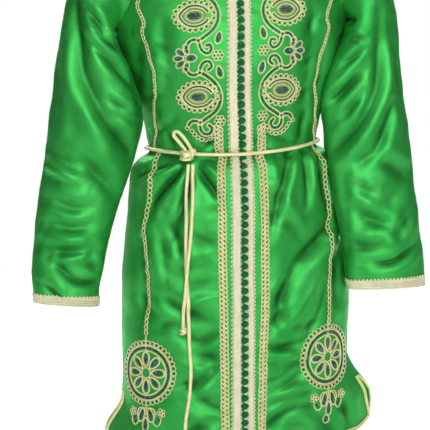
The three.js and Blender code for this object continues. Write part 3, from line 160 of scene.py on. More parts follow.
# Creases of the front as half width, depth, the ridge's share of it and the line's points; the ridge lies to the left
CREASES = [
    # wearer's right sleeve
    (11, 10, 0.7, (-164, -409), (-187, -387), (-210, -357), (-231, -314), (-248, -269), (-252, -230),
     (-262, -150)),
    (17, 7, 0.2, (-272, -150), (-264, -230), (-262, -280), (-250, -320)),
    (6.9, 5.7, 0.7, (-241, -176), (-209, -213)), (6.9, 5.4, 0.7, (-219, -221), (-180, -246)),
    (8.1, 8.1, 0.7, (-234, -229), (-196, -268), (-160, -302)), (5.7, 5.4, 0.7, (-203, -324), (-158, -353)),
    (5.7, 4.9, 0.7, (-189, -350), (-157, -366)), (10.3, 6.1, 0.5, (-281, -210), (-294, -320), (-304, -400)),
    (11.4, 10.8, 0.5, (-246, -419), (-222, -444), (-199, -470)), (9.1, -8.1, 0.6, (-306, -422), (-254, -457)),
    (8.1, 8.1, 0.4, (-308, -446), (-254, -467)), (10.6, 9.5, 0.5, (-299, -480), (-262, -496), (-236, -498)),
    (10.3, 8.8, 0.7, (-314, -552), (-275, -566), (-240, -568)), (6.9, -6.8, 0.6, (-294, -580), (-244, -577)),
    (6.9, 7.4, 0.6, (-292, -586), (-258, -616), (-222, -622)), (6.9, 6.1, 0.6, (-240, -589), (-220, -603)),
    (8.1, 5.4, 0.6, (-300, -520), (-262, -530), (-236, -522)), (6.9, 5.4, 0.6, (-310, -620), (-284, -644)),
    # wearer's left sleeve
    (10.3, 8.1, 0.8, (247, -190), (245, -260), (241, -322), (208, -385), (166, -430)),
    (5.7, 5.4, 0.7, (192, -239), (221, -250)), (5.7, 5.4, 0.7, (187, -283), (218, -261)),
    (6.9, 6.8, 0.7, (168, -344), (209, -304)), (10.3, 6.8, 0.5, (270, -220), (281, -300), (290, -370)),
    (9.1, 8.8, 0.7, (203, -526), (230, -541), (256, -552)), (6.9, 6.1, 0.7, (211, -488), (232, -500)),
    (9.1, 8.1, 0.7, (186, -579), (214, -586), (241, -585)), (11.4, 9.5, 0.5, (250, -447), (294, -471)),
    (8.1, 6.8, 0.6, (270, -350), (244, -420), (214, -446)), (8.1, 6.1, 0.6, (302, -540), (274, -566)),
    (6.9, 6.1, 0.6, (310, -590), (270, -612), (236, -616)), (8.1, 6.8, 0.7, (216, -330), (184, -372)),
    # bodice
    (10.3, 7.4, 0.7, (-158, -240), (-150, -320), (-139, -398)),
    (8.1, 6.1, 0.7, (-137, -252), (-133, -330), (-128, -402)),
    (8.1, 6.1, 0.7, (150, -246), (146, -320), (137, -394)), (6.9, 4.9, 0.7, (130, -205), (124, -225)),
    (5.7, 4.1, 0.7, (-30, -392), (-60, -412)), (5.7, 4.1, 0.7, (-112, -372), (-96, -404)),
    (5.7, 4.1, 0.7, (18, -396), (52, -412)), (6.9, 4.6, 0.7, (124, -360), (112, -404)),
    # skirt
    (11.4, 12.2, 0.6, (166, -552), (140, -576), (104, -606), (80, -650), (69, -696)),
    (9.7, 9.5, 0.6, (-104, -530), (-94, -560), (-86, -598)), (11.4, 8.1, 0.6, (-122, -540), (-112, -608)),
    (11.4, 10.1, 0.6, (-108, -660), (-84, -678), (-56, -688)),
    (10.3, 6.8, 0.6, (-150, -560), (-146, -640), (-152, -700)),
    (5.7, 5.4, 0.6, (-86, -440), (-120, -478), (-138, -522)), (5.7, 5.4, 0.6, (-61, -442), (-42, -468), (-22, -500)),
    (6.9, 5.4, 0.6, (-98, -434), (-130, -442), (-156, -458)), (5.7, 4.6, 0.6, (-75, -452), (-84, -500), (-96, -545)),
    (8.1, 6.2, 0.6, (150, -430), (162, -500), (168, -560)), (6.9, 5.4, 0.6, (118, -430), (124, -470), (122, -510)),
    (6.9, 5.4, 0.6, (92, -432), (76, -490), (58, -560)), (10.3, 6.8, 0.6, (178, -600), (176, -680)),
    (9.1, 6.8, 0.6, (52, -800), (82, -790), (110, -776)), (9.1, 7.4, 0.6, (56, -868), (92, -850), (124, -846)),
    (8.1, 6.2, 0.6, (-36, -716), (-62, -726), (-88, -716)), (8.1, 6.2, 0.6, (-34, -770), (-60, -790), (-92, -800)),
    (9.1, 6.8, 0.6, (-36, -856), (-70, -872), (-100, -900)), (9.1, 6.2, 0.6, (190, -850), (200, -890)),
]
# The same on the back, where the photograph shows nothing
BACK_CREASES = [
    (12, 6, 0.6, (-60, -440), (-76, -560), (-84, -760)), (12, 6, 0.6, (62, -440), (74, -560), (66, -740)),
    (9, 5, 0.7, (-24, -300), (-36, -350), (-30, -402)), (9, 5, 0.7, (44, -290), (54, -350), (40, -402)),
    (10, 5, 0.6, (-150, -600), (-144, -760)), (10, 5, 0.6, (120, -560), (136, -740)),
    (8, 4.5, 0.7, (-140, -250), (-104, -300)), (8, 4.5, 0.7, (140, -250), (110, -310)),
    (9, 6, 0.7, (-262, -190), (-246, -300), (-176, -404)), (9, 6, 0.7, (262, -190), (250, -300), (180, -404)),
    (8, 5.5, 0.6, (-306, -446), (-230, -480)), (8, 5.5, 0.6, (306, -446), (226, -490)),
    (8, 5.5, 0.6, (-306, -560), (-236, -580)), (8, 5.5, 0.6, (308, -560), (230, -590)),
]

# Belt and its ends, as x, height and distance from the cloth
CORD_RADIUS = 3.2
BELT = {"side_z": -409, "clearance": 1.2, "stand": 0.8, "over_knots": 5.4, "knots_at": 5.6, "knots_spread": 15}
KNOT = {"x": -71, "z": -424, "radius": 8.6, "out": 13}
BOW = [
    (-73, -423, 13), (-78.5, -414, 11), (-86.5, -402.5, 8.5), (-94, -393, 7), (-98.5, -386.5, 7),
    (-97, -381, 7.5), (-91, -382, 8.5), (-83, -391, 10), (-75, -403, 12), (-69.5, -414, 13.5),
    (-69, -423, 13),
]
ENDS = {
    "short": [
        (-68.5, -435.9, 10.5), (-69, -458, 6), (-70, -493, 5.2), (-74, -550, 7), (-79, -590, 12.6),
        (-80.5, -613, 13), (-82.5, -636, 12), (-84.5, -665, 7), (-85.8, -690, 5.6), (-86, -700, 5.6),
    ],
    "long": [
        (-76, -435.6, 10.5), (-77.5, -458, 6), (-79.5, -493, 5.2), (-81.5, -550, 5), (-80.5, -613, 5),
        (-77.5, -670, 5), (-75.8, -739, 5), (-74, -781, 5), (-76.7, -815, 5), (-82, -846, 5.2),
        (-84, -870, 6.4), (-85, -887, 8.4),
    ],
}
END_KNOT = {"radius": 6, "height": 7.5}

# The photograph's view: where the camera aims, from where, and its focal length in the photograph's pixels
VIEW = {"target": (-18.7, 0, -530), "azimuth": -8, "elevation": 5, "distance": 2600, "focal": 1529, "size": 430}


def lifted(points):
    """Millimetres of the cut as the scene's metres, with the left shoulder's lift."""
    out = np.array(points, float)
    out[..., 2] += LIFT * out[..., 0]
    return out * MM


def smoothstep(x, low, high):
    t = np.clip((x - low) / (high - low), 0, 1)
    return t * t * (3 - 2 * t)


def lerp(a, b, t):
    return a + (b - a) * t


def unit(v):
    return v / np.maximum(np.linalg.norm(v, axis=-1, keepdims=True), 1e-9)


def full_turn(count):
    return np.linspace(0, 2 * np.pi, count, endpoint=False)


def arc_length(line):
    """How far along a line each of its points lies."""
    return np.concatenate([[0], np.cumsum(np.linalg.norm(np.diff(line, axis=0), axis=1))])


def even_steps(length, spacing):
    return np.linspace(0, length[-1], max(2, int(round(length[-1] / spacing))) + 1)


def at_lengths(line, length, at):
    """A line's points at the given distances along it."""
    return np.stack([np.interp(at, length, line[:, k]) for k in range(line.shape[1])], -1)


def through(rows, columns, key, along=None):
    """A smooth curve through one column of a table, read along another, or along the rows' numbers."""
    column = columns.index(key)
    places = [row[columns.index(along)] for row in rows] if along else range(len(rows))
    at, value = np.array(sorted(zip(places, [row[column] for row in rows])), float).T
    last = len(at) - 1
    before, after = np.maximum(np.arange(last + 1) - 1, 0), np.minimum(np.arange(last + 1) + 1, last)
    slope = (value[after] - value[before]) / (at[after] - at[before])

    def read(x):
        x = np.clip(x, at[0], at[-1])
        i = np.clip(np.searchsorted(at, x, side="right") - 1, 0, last - 1)
        span = at[i + 1] - at[i]
        t = (x - at[i]) / span
        t2, t3 = t * t, t * t * t
        value_part = value[i] * (2 * t3 - 3 * t2 + 1) + value[i + 1] * (3 * t2 - 2 * t3)
        return value_part + span * (slope[i] * (t3 - 2 * t2 + t) + slope[i + 1] * (t3 - t2))

    return read


half_width, depth_front, depth_back, lean, opening = (
    through(BODY, BODY_COLUMNS, key, "z") for key in BODY_COLUMNS[1:]
)
seam_angle = {s: through(SEAM, SEAM_COLUMNS, s, "z") for s in SIDES}
chain_share = {s: through(CHAIN_LINE, SEAM_COLUMNS, s, "z") for s in SIDES}
double_chain_at = {s: through(DOUBLE_CHAIN, SEAM_COLUMNS, s, "z") for s in SIDES}


def section(side, angle, z):
    """Points of the body's section: the angle runs from 0 at the centre front to 180 at the centre back."""
    s, c = np.sin(angle * DEG), np.cos(angle * DEG)
    shift = np.where(c > 0, WAIST["front_sag"], -WAIST["back_rise"]) * c * c
    level = z + shift * np.exp(-(((z - WAIST["z"]) / WAIST["spread"]) ** 2))
    start, full, reach = FLARE[side]
    width = half_width(level) + reach * smoothstep(-z, -start, -full) * s**4
    across = width * np.sign(s) * np.abs(s) ** (2 / ROUNDNESS)
    forward = np.where(c > 0, -depth_front(level), depth_back(level)) * np.abs(c) ** (2 / ROUNDNESS)
    return np.stack(np.broadcast_arrays(lean(z) + side * across, forward, z), -1)


def angle_beyond(side, angle, z, distance):
    step = 0.1
    speed = np.linalg.norm(section(side, angle, z) - section(side, angle + step, z), axis=-1) / step
    return angle + distance / speed


def angle_at_share(share):
    return np.sign(share) * np.arcsin(np.minimum(np.abs(share), 1) ** (ROUNDNESS / 2)) / DEG


def slit_drop(z):
    return np.clip((SLIT_TOP_Z - z) / (SLIT_TOP_Z - HEM_Z), 0, 1)


def front_lines(side, z):
    """The angles of a front's lines at heights z, from the opening to its side seam, and the seam's angle."""
    width, ones = half_width(z), np.ones_like(z)
    inner = double_chain_at[side](z)
    first, second = FRONT_BANDS[side]
    near = [OPENING_GAP / 2 * ones, first * ones, second * ones, inner, inner + DOUBLE_CHAIN_WIDTH]
    near = [(side * opening(z) + distance) / width for distance in near]
    share = chain_share[side](z)
    chain = [share - CHAIN_WIDTH / 2 / width, share + CHAIN_WIDTH / 2 / width]
    between = [lerp(near[-1], chain[0], part) for part in (0.27, 0.53, 0.77)]
    lines = [angle_at_share(line) for line in [*near, *between, *chain]]
    edge = seam_angle[side](z) + SLIT_GAPE[side]["front"] * slit_drop(z) ** 2
    end = angle_beyond(side, edge, z, -SEAM_GAP * 0.2)
    trim = angle_beyond(side, end, z, -TRIM_WIDTH)
    lines += [lerp(lines[-1], trim, part) for part in (0.33, 0.67)]
    return np.stack([*lines, trim, end], -1), edge


def back_lines(side, z):
    edge = seam_angle[side](z) + SLIT_GAPE[side]["back"] * slit_drop(z)
    end = angle_beyond(side, edge, z, SEAM_GAP * 0.2)
    trim = angle_beyond(side, end, z, TRIM_WIDTH)
    return np.stack([*(lerp(180, trim, share) for share in BACK_SHARES), trim, end], -1), edge


def between_lines(lines, q):
    """Values at fractional line numbers q."""
    low = np.minimum(q.astype(int), lines.shape[-1] - 2)
    return lerp(lines[..., low], lines[..., low + 1], q - low)


def armhole_x(side, face, rise):
    under = seam_angle[side](UNDERARM_Z)
    start = abs(section(side, under, UNDERARM_Z)[0] - lean(UNDERARM_Z))
    return lerp(start, TIP_X, rise) - ARMHOLE_CURVE[face] * np.sin(np.pi * rise)


def chest_depth(x, z, face):
    depth_of = depth_front if face == "front" else depth_back
    share = np.minimum(np.abs(x) / half_width(z), 1)
    ridge = TIP_Z * ((x - NECK_HALF_WIDTH) / (TIP_X - NECK_HALF_WIDTH))
    below = np.clip((ridge - z) / SHOULDER_ROUNDING, 0, 1)
    return depth_of(z) * (1 - share**ROUNDNESS) ** (1 / ROUNDNESS) * np.sqrt(1 - (1 - below) ** 2)


def yoke(side, face, base_x, top_x, beside, rises, q):
    """The rows above the underarm, which spread to the neckline and the shoulder seam."""
    edge = armhole_x(side, face, rises)[:, None]
    straight = lerp(base_x[-1], TIP_X, rises)[:, None]
    closing = smoothstep(rises, 0, 0.28)[:, None]
    plain = lerp(base_x[None, : len(top_x)], top_x[None], rises[:, None])
    inner = plain + (np.abs(plain) / straight) ** 3 * (edge - straight)
    outer = edge - lerp(base_x[-1] - base_x[None, len(top_x) :], beside[None], closing)
    x = between_lines(np.concatenate([inner, outer], -1), q)
    top = between_lines(np.concatenate([top_x, TIP_X - beside])[None], q)[0]
    inside = np.sqrt(np.maximum(1 - (top / NECK_HALF_WIDTH) ** 2, 0))
    slope = TIP_Z * (top - NECK_HALF_WIDTH) / (TIP_X - NECK_HALF_WIDTH)
    top_z = np.where(top < NECK_HALF_WIDTH, -NECK_DROP[face] * inside, slope)
    z = lerp(UNDERARM_Z, top_z[None], rises[:, None])
    depth = chest_depth(x, z, face) + SEAM_GAP
    points = np.stack([lean(z) + side * x, -depth if face == "front" else depth, z], -1)
    return points, top


def with_hem(points, side, share):
    low = smoothstep(-points[..., 2], -HEM_RISE["from"], -HEM_Z)
    points[..., 2] += HEM_RISE[side] * low * np.maximum(share, 0) ** 5
    return points


STEP, BELT_STEP = 4.2, 3  # the cloth's cells, and the finer rows near the belt
NEAR_BELT = (-470, -380)
ROW_Z = np.concatenate([
    np.arange(HEM_Z, NEAR_BELT[0], STEP), np.arange(*NEAR_BELT, BELT_STEP), np.arange(NEAR_BELT[1], UNDERARM_Z, STEP)
])
ROW_Z = np.append(ROW_Z[ROW_Z < UNDERARM_Z - 2], UNDERARM_Z).astype(float)
RISES = np.linspace(0, 1, 52)[1:]


def fine_lines(lines_at, side):
    """Fractional line numbers that split the widest gaps between lines to the cloth's step."""
    z = np.array([UNDERARM_Z, -600.0, HEM_Z])
    angles, _ = lines_at(side, z)
    points = section(side, angles, z[:, None] + 0 * angles)
    gaps = np.linalg.norm(np.diff(points, axis=1), axis=-1).max(0)
    parts = [np.arange(i, i + 1, 1 / max(1, round(gap / STEP))) for i, gap in enumerate(gaps)]
    return np.append(np.concatenate(parts), len(gaps)).astype(float)


def half_panel(side, face):
    """The grid of a front, or of half of the back, from the centre outwards."""
    lines_at = front_lines if face == "front" else back_lines
    q = fine_lines(lines_at, side)
    angles, edge = lines_at(side, ROW_Z)
    base = section(side, angles[-1], ROW_Z[-1])
    base_x = side * (base[:, 0] - lean(UNDERARM_Z))
    angles = between_lines(angles, q)
    rows = section(side, angles, ROW_Z[:, None])
    if face == "front":
        share = angles / edge[:, None]
        inner = double_chain_at[side](0.0)
        near = [OPENING_GAP / 2, *FRONT_BANDS[side], inner, inner + DOUBLE_CHAIN_WIDTH]
        top_x = np.array([*near, 60, NECK_HALF_WIDTH, 122])
        beside = np.array([17, 8, 6.2, 4.4, 2.6, 0])
    else:
        share = (180 - angles) / (180 - edge[:, None])
        top_x, beside = np.array([0, 34, 60, NECK_HALF_WIDTH, 132.0]), np.array([3.0, 0])
    rows = with_hem(rows, side, share)
    upper, top = yoke(side, face, base_x, top_x, beside, RISES, q)
    return np.concatenate([rows, upper]), q, top


def grid_normals(grid, ring, hollow):
    """Unit normals of a grid of points, facing away from its hollow."""
    if ring:
        wide = np.concatenate([grid[:, -1:], grid, grid[:, :1]], 1)
        across = wide[:, 2:] - wide[:, :-2]
    else:
        across = np.gradient(grid, axis=1)
    normals = unit(np.cross(across, np.gradient(grid, axis=0)))
    i, j = grid.shape[0] // 2, grid.shape[1] // 2
    outward = np.dot(grid[i, j] - hollow(grid[i, j]), normals[i, j])
    return normals if outward > 0 else -normals


def hollow_of_body(point):
    return np.array([lean(point[2]), 0, point[2]])


def fold_height(points, folds):
    """The height of a face's folds at each point."""
    height = np.zeros(points.shape[:-1])
    for x0, z0, x1, z1, bow, width, rise in folds:
        start, end = np.array([x0, z0], float), np.array([x1, z1], float)
        along = unit(end - start)
        middle = (start + end) / 2 + bow * np.array([-along[1], along[0]])
        reach = 3 * width
        low, high = np.minimum(start, end) - reach - abs(bow), np.maximum(start, end) + reach + abs(bow)
        flat = points[..., [0, 2]]
        near = np.all((flat > low) & (flat < high), axis=-1)
        if not near.any():
            continue
        t = np.linspace(0, 1, 40)[:, None]
        curve = (1 - t) ** 2 * start + 2 * t * (1 - t) * middle + t**2 * end
        distances = np.linalg.norm(flat[near][:, None] - curve, axis=-1)
        nearest = distances.argmin(1)
        place = nearest / (len(curve) - 1)
        taper = np.sqrt(np.sin(np.pi * (0.08 + place * 0.84)))
        height[near] += rise * taper * np.exp(-((distances.min(1) / width) ** 2))
    return height


def crease_height(points, creases):
    """The height of a face's creases at each point: each is a valley with a ridge along its left side."""
    height = np.zeros(points.shape[:-1])
    flat = points[..., [0, 2]]
    for width, depth, ridge, *route in creases:
        curve = spline(route, 4)
        reach = 4 * width
        near = np.all((flat > curve.min(0) - reach) & (flat < curve.max(0) + reach), axis=-1)
        if not near.any():
            continue
        away = flat[near][:, None] - curve
        distances = np.linalg.norm(away, axis=-1)
        nearest = distances.argmin(1)
        ahead = unit(np.gradient(curve, axis=0))[nearest]
        offset = away[np.arange(len(away)), nearest]
        left = np.sign(ahead[:, 0] * offset[:, 1] - ahead[:, 1] * offset[:, 0]) * distances.min(1)
        place = nearest / (len(curve) - 1)
        taper = np.sqrt(np.sin(np.pi * (0.06 + place * 0.88)))
        valley = np.exp(-((left / width) ** 2))
        beside = np.exp(-(((left - 2.1 * width) / (1.3 * width)) ** 2))
        height[near] += depth * taper * (ridge * beside - valley)
    return height


def noise_at(points, size=1, seed=0):
    """Smooth noise at each point, on features of that size, from -1 to 1."""
    flat = points.reshape(-1, 3) / size + seed
    return np.array([noise.noise(Vector(p)) for p in flat]).reshape(points.shape[:-1])


# Soft unevenness as its height, the size of its features, where its noise starts and how it is stretched
RUMPLES = [(1.9, 48, 3.1, (1, 1, 0.75)), (0.95, 21, 17.7, (1, 1, 0.75)), (0.24, 9, 8.3, (0.7, 0.7, 1.5))]


def rumple(points, normals, extra):
    """Moves cloth along its normals by its folds, its soft unevenness and its small puckers."""
    facing = np.minimum(1, np.abs(normals[..., 1]) * 1.6)
    front = normals[..., 1] < 0
    in_front = fold_height(points, FRONT_FOLDS) + crease_height(points, CREASES)
    behind = fold_height(points, BACK_FOLDS) + crease_height(points, BACK_CREASES)
    height = np.where(front, in_front, behind) * facing
    for rise, size, start, stretch in RUMPLES:
        height += rise * noise_at(points * np.array(stretch), size, start)
    return points + normals * (height + extra)[..., None]


def puckers(z, distance, pitch, seed, reach, height):
    """Short folds that run away from a stitched line: distance is measured from the line, z along it."""
    slant = 0.25 * np.abs(distance)
    wave = noise_at(np.stack([0 * z + seed, 0 * z, (z + slant) / pitch], -1))
    return height * wave * np.exp(-np.abs(distance) / reach)


WAIST_LEAN, WAIST_RADIUS = 11, 120


def gathers(points, pitch=9, reach=26, height=1.5):
    """Upright folds above and below the belt."""
    x, y, z = np.moveaxis(points, -1, 0)
    side_angle = np.arctan2(x - WAIST_LEAN, -y)
    drop = WAIST["front_sag"] * np.maximum(np.cos(side_angle), 0) ** 2
    away = np.abs(z - BELT["side_z"] + drop)
    wave = noise_at(np.stack([side_angle * WAIST_RADIUS / pitch, 0 * x + 5.5, z / 70], -1))
    return height * wave * np.exp(-away / reach) * smoothstep(away, 0, 7)


# The lines' numbers from the opening outwards: braid, double chain and single chain
LINES = {"braid_out": 2, "double_out": 4, "chain": 8.5}
CALM_BESIDE_OPENING, CALM_AT_CUFF = (12, 34), (6, 30)  # where the creases set in


def front_panel(side):
    grid, q, top = half_panel(side, "front")
    normals = grid_normals(grid, False, hollow_of_body)
    distance = np.cumsum(np.linalg.norm(np.diff(grid, axis=1, prepend=grid[:, :1]), axis=-1), axis=1)

    def from_line(line):
        j = int(np.searchsorted(q, line))
        return distance - distance[:, j : j + 1]

    z = grid[..., 2]
    braid_out, double_out = from_line(LINES["braid_out"]), from_line(LINES["double_out"])
    extra = puckers(z, braid_out, 10, side * 7.3, 14, 2.2) * (braid_out > 0)
    extra += puckers(z, double_out, 12, side * 3.9, 20, 2.8) * ((double_out > 0) & (z < DOUBLE_CHAIN_TOP_Z))
    extra += puckers(z, from_line(LINES["chain"]), 12, side * 11.9, 15, 2.4)
    moved = rumple(grid, normals, extra + gathers(grid))
    grid = lerp(grid, moved, 0.3 + 0.7 * smoothstep(distance, *CALM_BESIDE_OPENING)[..., None])
    return finished(grid, q, top, False, hollow_of_body)


def back_panel():
    left, q, top = half_panel(1, "back")
    right, q_right, top_right = half_panel(-1, "back")
    grid = np.concatenate([right[:, :0:-1], left], 1)
    normals = grid_normals(grid, False, hollow_of_body)
    grid = rumple(grid, normals, gathers(grid, 10, 34, 2.4))
    q, top = np.concatenate([-q_right[:0:-1], q]), np.concatenate([top_right[:0:-1], top])
    return finished(grid, q, top, False, hollow_of_body)


def finished(grid, q, top, ring, hollow):
    """A piece of cloth: its points, normals and line numbers. The normals on its shoulder seam are set upright."""
    normals = grid_normals(grid, ring, hollow)
    if top is not None:
        shoulder = top >= NECK_HALF_WIDTH
        normals[-1, shoulder, 1] = 0
        normals[-1] = unit(normals[-1])
    return {"grid": grid, "normals": normals, "q": q, "ring": ring}


def clear_of_body(points, side, clearance):
    """Keeps a sleeve's points outside the body by a clearance."""
    x, y, z = np.moveaxis(points, -1, 0)
    centre = lean(z)
    rise = np.clip((z - UNDERARM_Z) / (TIP_Z - UNDERARM_Z), 0, 1)
    edge = np.where(y < 0, armhole_x(side, "front", rise), armhole_x(side, "back", rise))
    least = np.where(rise < 0.7, edge + clearance, 0)
    above = centre + side * np.maximum(side * (x - centre), least)
    width, depth = half_width(z), np.where(y < 0, depth_front(z), depth_back(z))
    reach = ((np.abs(x - centre) / width) ** ROUNDNESS + (np.abs(y) / depth) ** ROUNDNESS) ** (1 / ROUNDNESS)
    grow = np.maximum(1, (1 + clearance / width) / np.maximum(reach, 1e-6))
    is_above = z > UNDERARM_Z
    new_x = np.where(is_above, above, centre + (x - centre) * grow)
    return np.stack([new_x, np.where(is_above, y, y * grow), z], -1)


RING_PARTS = 5
SLEEVE_STEPS, SLEEVE_ROW = 150, 4.4
ARMHOLE_STAND, ARMHOLE_FADE = 1.2, 10  # a sleeve's distance from the body at the armhole, and the rows it fades over


def armhole_ring(side, front, back):
    """Points round an armhole, down the front's edge and up the back's."""
    rise_of = [1, *YOKE_RISES[-2::-1], 0]
    count = len(rise_of) - 1
    t = np.arange(0, count, 1 / RING_PARTS)
    down = np.interp(t, range(count + 1), rise_of)
    up = np.interp(t, range(count + 1), rise_of[::-1])
    level = np.concatenate([[0], RISES])
    first = len(ROW_Z) - 1

    def edge(sheet, column, rise):
        return at_lengths(sheet["grid"][first:, column], level, rise)

    ring = np.concatenate([edge(front, -1, down), edge(back, -1 if side > 0 else 0, up)])
    ring[:, 0] += side * 0.4
    return ring


def sleeve(side, front, back):
    armhole = armhole_ring(side, front, back)
    read = {key: through(SLEEVE[side], SLEEVE_COLUMNS, key) for key in SLEEVE_COLUMNS}
    place = np.linspace(0, len(SLEEVE[side]) - 1, SLEEVE_STEPS)[1:]
    outer = np.stack([side * read["out_x"](place), read["y"](place), read["out_z"](place)], -1)
    inner = np.stack([side * read["in_x"](place), read["y"](place), read["in_z"](place)], -1)
    centre, reach = (outer + inner) / 2, (outer - inner) / 2
    turn = full_turn(len(armhole))
    rings = centre[:, None] + reach[:, None] * np.cos(turn)[None, :, None]
    rings[..., 1] -= read["deep"](place)[:, None] * np.sin(turn)
    rings = lerp(armhole[None], rings, smoothstep(place, -0.6, 3.2)[:, None, None])
    clearance = SLEEVE_CLEARANCE * smoothstep(place, 0, 3)[:, None] + ARMHOLE_STAND
    smooth = np.concatenate([armhole[None], clear_of_body(rings, side, clearance)])

    def hollow(point):
        return centre[len(centre) // 2]

    row = np.arange(len(smooth))[:, None]
    cuff = (len(smooth) - 1 - row) * SLEEVE_ROW
    cuff_folds = puckers(smooth[..., 0], cuff - 20, 9, side * 5.1, 10, 0.9) * (cuff > 18)
    shirr = puckers(smooth[..., 2], row * 4.0, 16, 2.2, 26, 1.6)
    moved = rumple(smooth, grid_normals(smooth, True, hollow), cuff_folds + shirr)
    least = np.minimum(ARMHOLE_STAND * row / ARMHOLE_FADE, SLEEVE_CLEARANCE)
    fade = smoothstep(row / ARMHOLE_FADE, 0, 1)[..., None]
    grid = smooth + (clear_of_body(moved, side, least) - smooth) * fade
    grid = lerp(smooth, grid, 0.35 + 0.65 * smoothstep(cuff, *CALM_AT_CUFF)[..., None])
    return finished(grid, np.arange(grid.shape[1]), None, True, hollow)


class Pile:
    """Collects shapes in millimetres into one mesh."""

    def __init__(self):
        self.points, self.faces, self.count = [], [], 0

    def add(self, points, faces):
        points = np.asarray(points, float).reshape(-1, 3)
        self.points.append(points)
        self.faces.append(np.asarray(faces, int) + self.count)
        self.count += len(points)

    def piece(self, name, look, slot, replaces=()):
        points = np.concatenate(self.points)
        loops = np.concatenate([faces.ravel() for faces in self.faces])
        sizes = np.concatenate([np.full(len(faces), faces.shape[1]) for faces in self.faces])
        mesh = bpy.data.meshes.new(name)
        mesh.vertices.add(len(points))
        mesh.vertices.foreach_set("co", lifted(points).astype(np.float32).ravel())
        mesh.loops.add(len(loops))
        mesh.loops.foreach_set("vertex_index", loops.astype(np.int32))
        mesh.polygons.add(len(sizes))
        mesh.polygons.foreach_set("loop_start", np.concatenate([[0], np.cumsum(sizes)[:-1]]).astype(np.int32))
        mesh.polygons.foreach_set("use_smooth", np.full(len(sizes), True))
        mesh.update(calc_edges=True)
        mesh.validate()
        obj = bpy.data.objects.new(name, mesh)
        bpy.context.scene.collection.objects.link(obj)
        mesh.materials.append(look)
        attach(obj, "root")
        if replaces:
            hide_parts(*replaces)
        return obj


def grid_faces(rows, columns, ring=False, offset=0):
    """The quads of a grid of points numbered row by row."""
    i, j = np.meshgrid(np.arange(rows - 1), np.arange(columns if ring else columns - 1), indexing="ij")
    k = (j + 1) % columns
    corners = [i * columns + j, i * columns + k, (i + 1) * columns + k, (i + 1) * columns + j]
    return offset + np.stack(corners, -1).reshape(-1, 4)


def outward_faces(points, faces):
    """Turns a closed shape's faces outwards."""
    a, b, c = points[faces[:, 0]], points[faces[:, 1]], points[faces[:, 2]]
    volume = (a * np.cross(b, c)).sum()
    if faces.shape[1] == 4:
        volume += (a * np.cross(c, points[faces[:, 3]])).sum()
    return faces[:, ::-1] if volume < 0 else faces


def shell(pile, grid, normals, low, high, ring=False):
    """The closed layer between two distances from a grid of points."""
    rows, columns = grid.shape[:2]
    outer, inner = grid + normals * high, grid + normals * low
    count = rows * columns
    faces = [grid_faces(rows, columns, ring), grid_faces(rows, columns, ring, count)[:, ::-1]]
    number = np.arange(count).reshape(rows, columns)
    edges = [(number[0, ::-1], ring), (number[-1], ring)]
    if not ring:
        edges += [(number[:, 0], False), (number[::-1, -1], False)]
    for line, closed in edges:
        a, b = (line, np.roll(line, -1)) if closed else (line[:-1], line[1:])
        faces.append(np.stack([a, b, b + count, a + count], -1))
    points = np.concatenate([outer.reshape(-1, 3), inner.reshape(-1, 3)])
    pile.add(points, outward_faces(points, np.concatenate(faces)))


def resample(line, spacing, closed=False):
    """Points along a polyline at an even spacing."""
    line = np.asarray(line, float)
    if closed:
        line = np.concatenate([line, line[:1]])
    length = arc_length(line)
    at = even_steps(length, spacing)
    return at_lengths(line, length, at[:-1] if closed else at)


def spline(points, spacing):
    """A smooth line through points, sampled at an even spacing."""
    p = np.asarray(points, float)
    p = np.concatenate([2 * p[:1] - p[1:2], p, 2 * p[-1:] - p[-2:-1]])
    t = np.linspace(0, 1, 12, endpoint=False)[:, None]
    parts = []
    for a, b, c, d in zip(p, p[1:], p[2:], p[3:]):
        parts.append(0.5 * (2 * b + (c - a) * t + (2 * a - 5 * b + 4 * c - d) * t**2 + (3 * b - a - 3 * c + d) * t**3))
    return resample(np.concatenate([*parts, p[-2:-1]]), spacing)


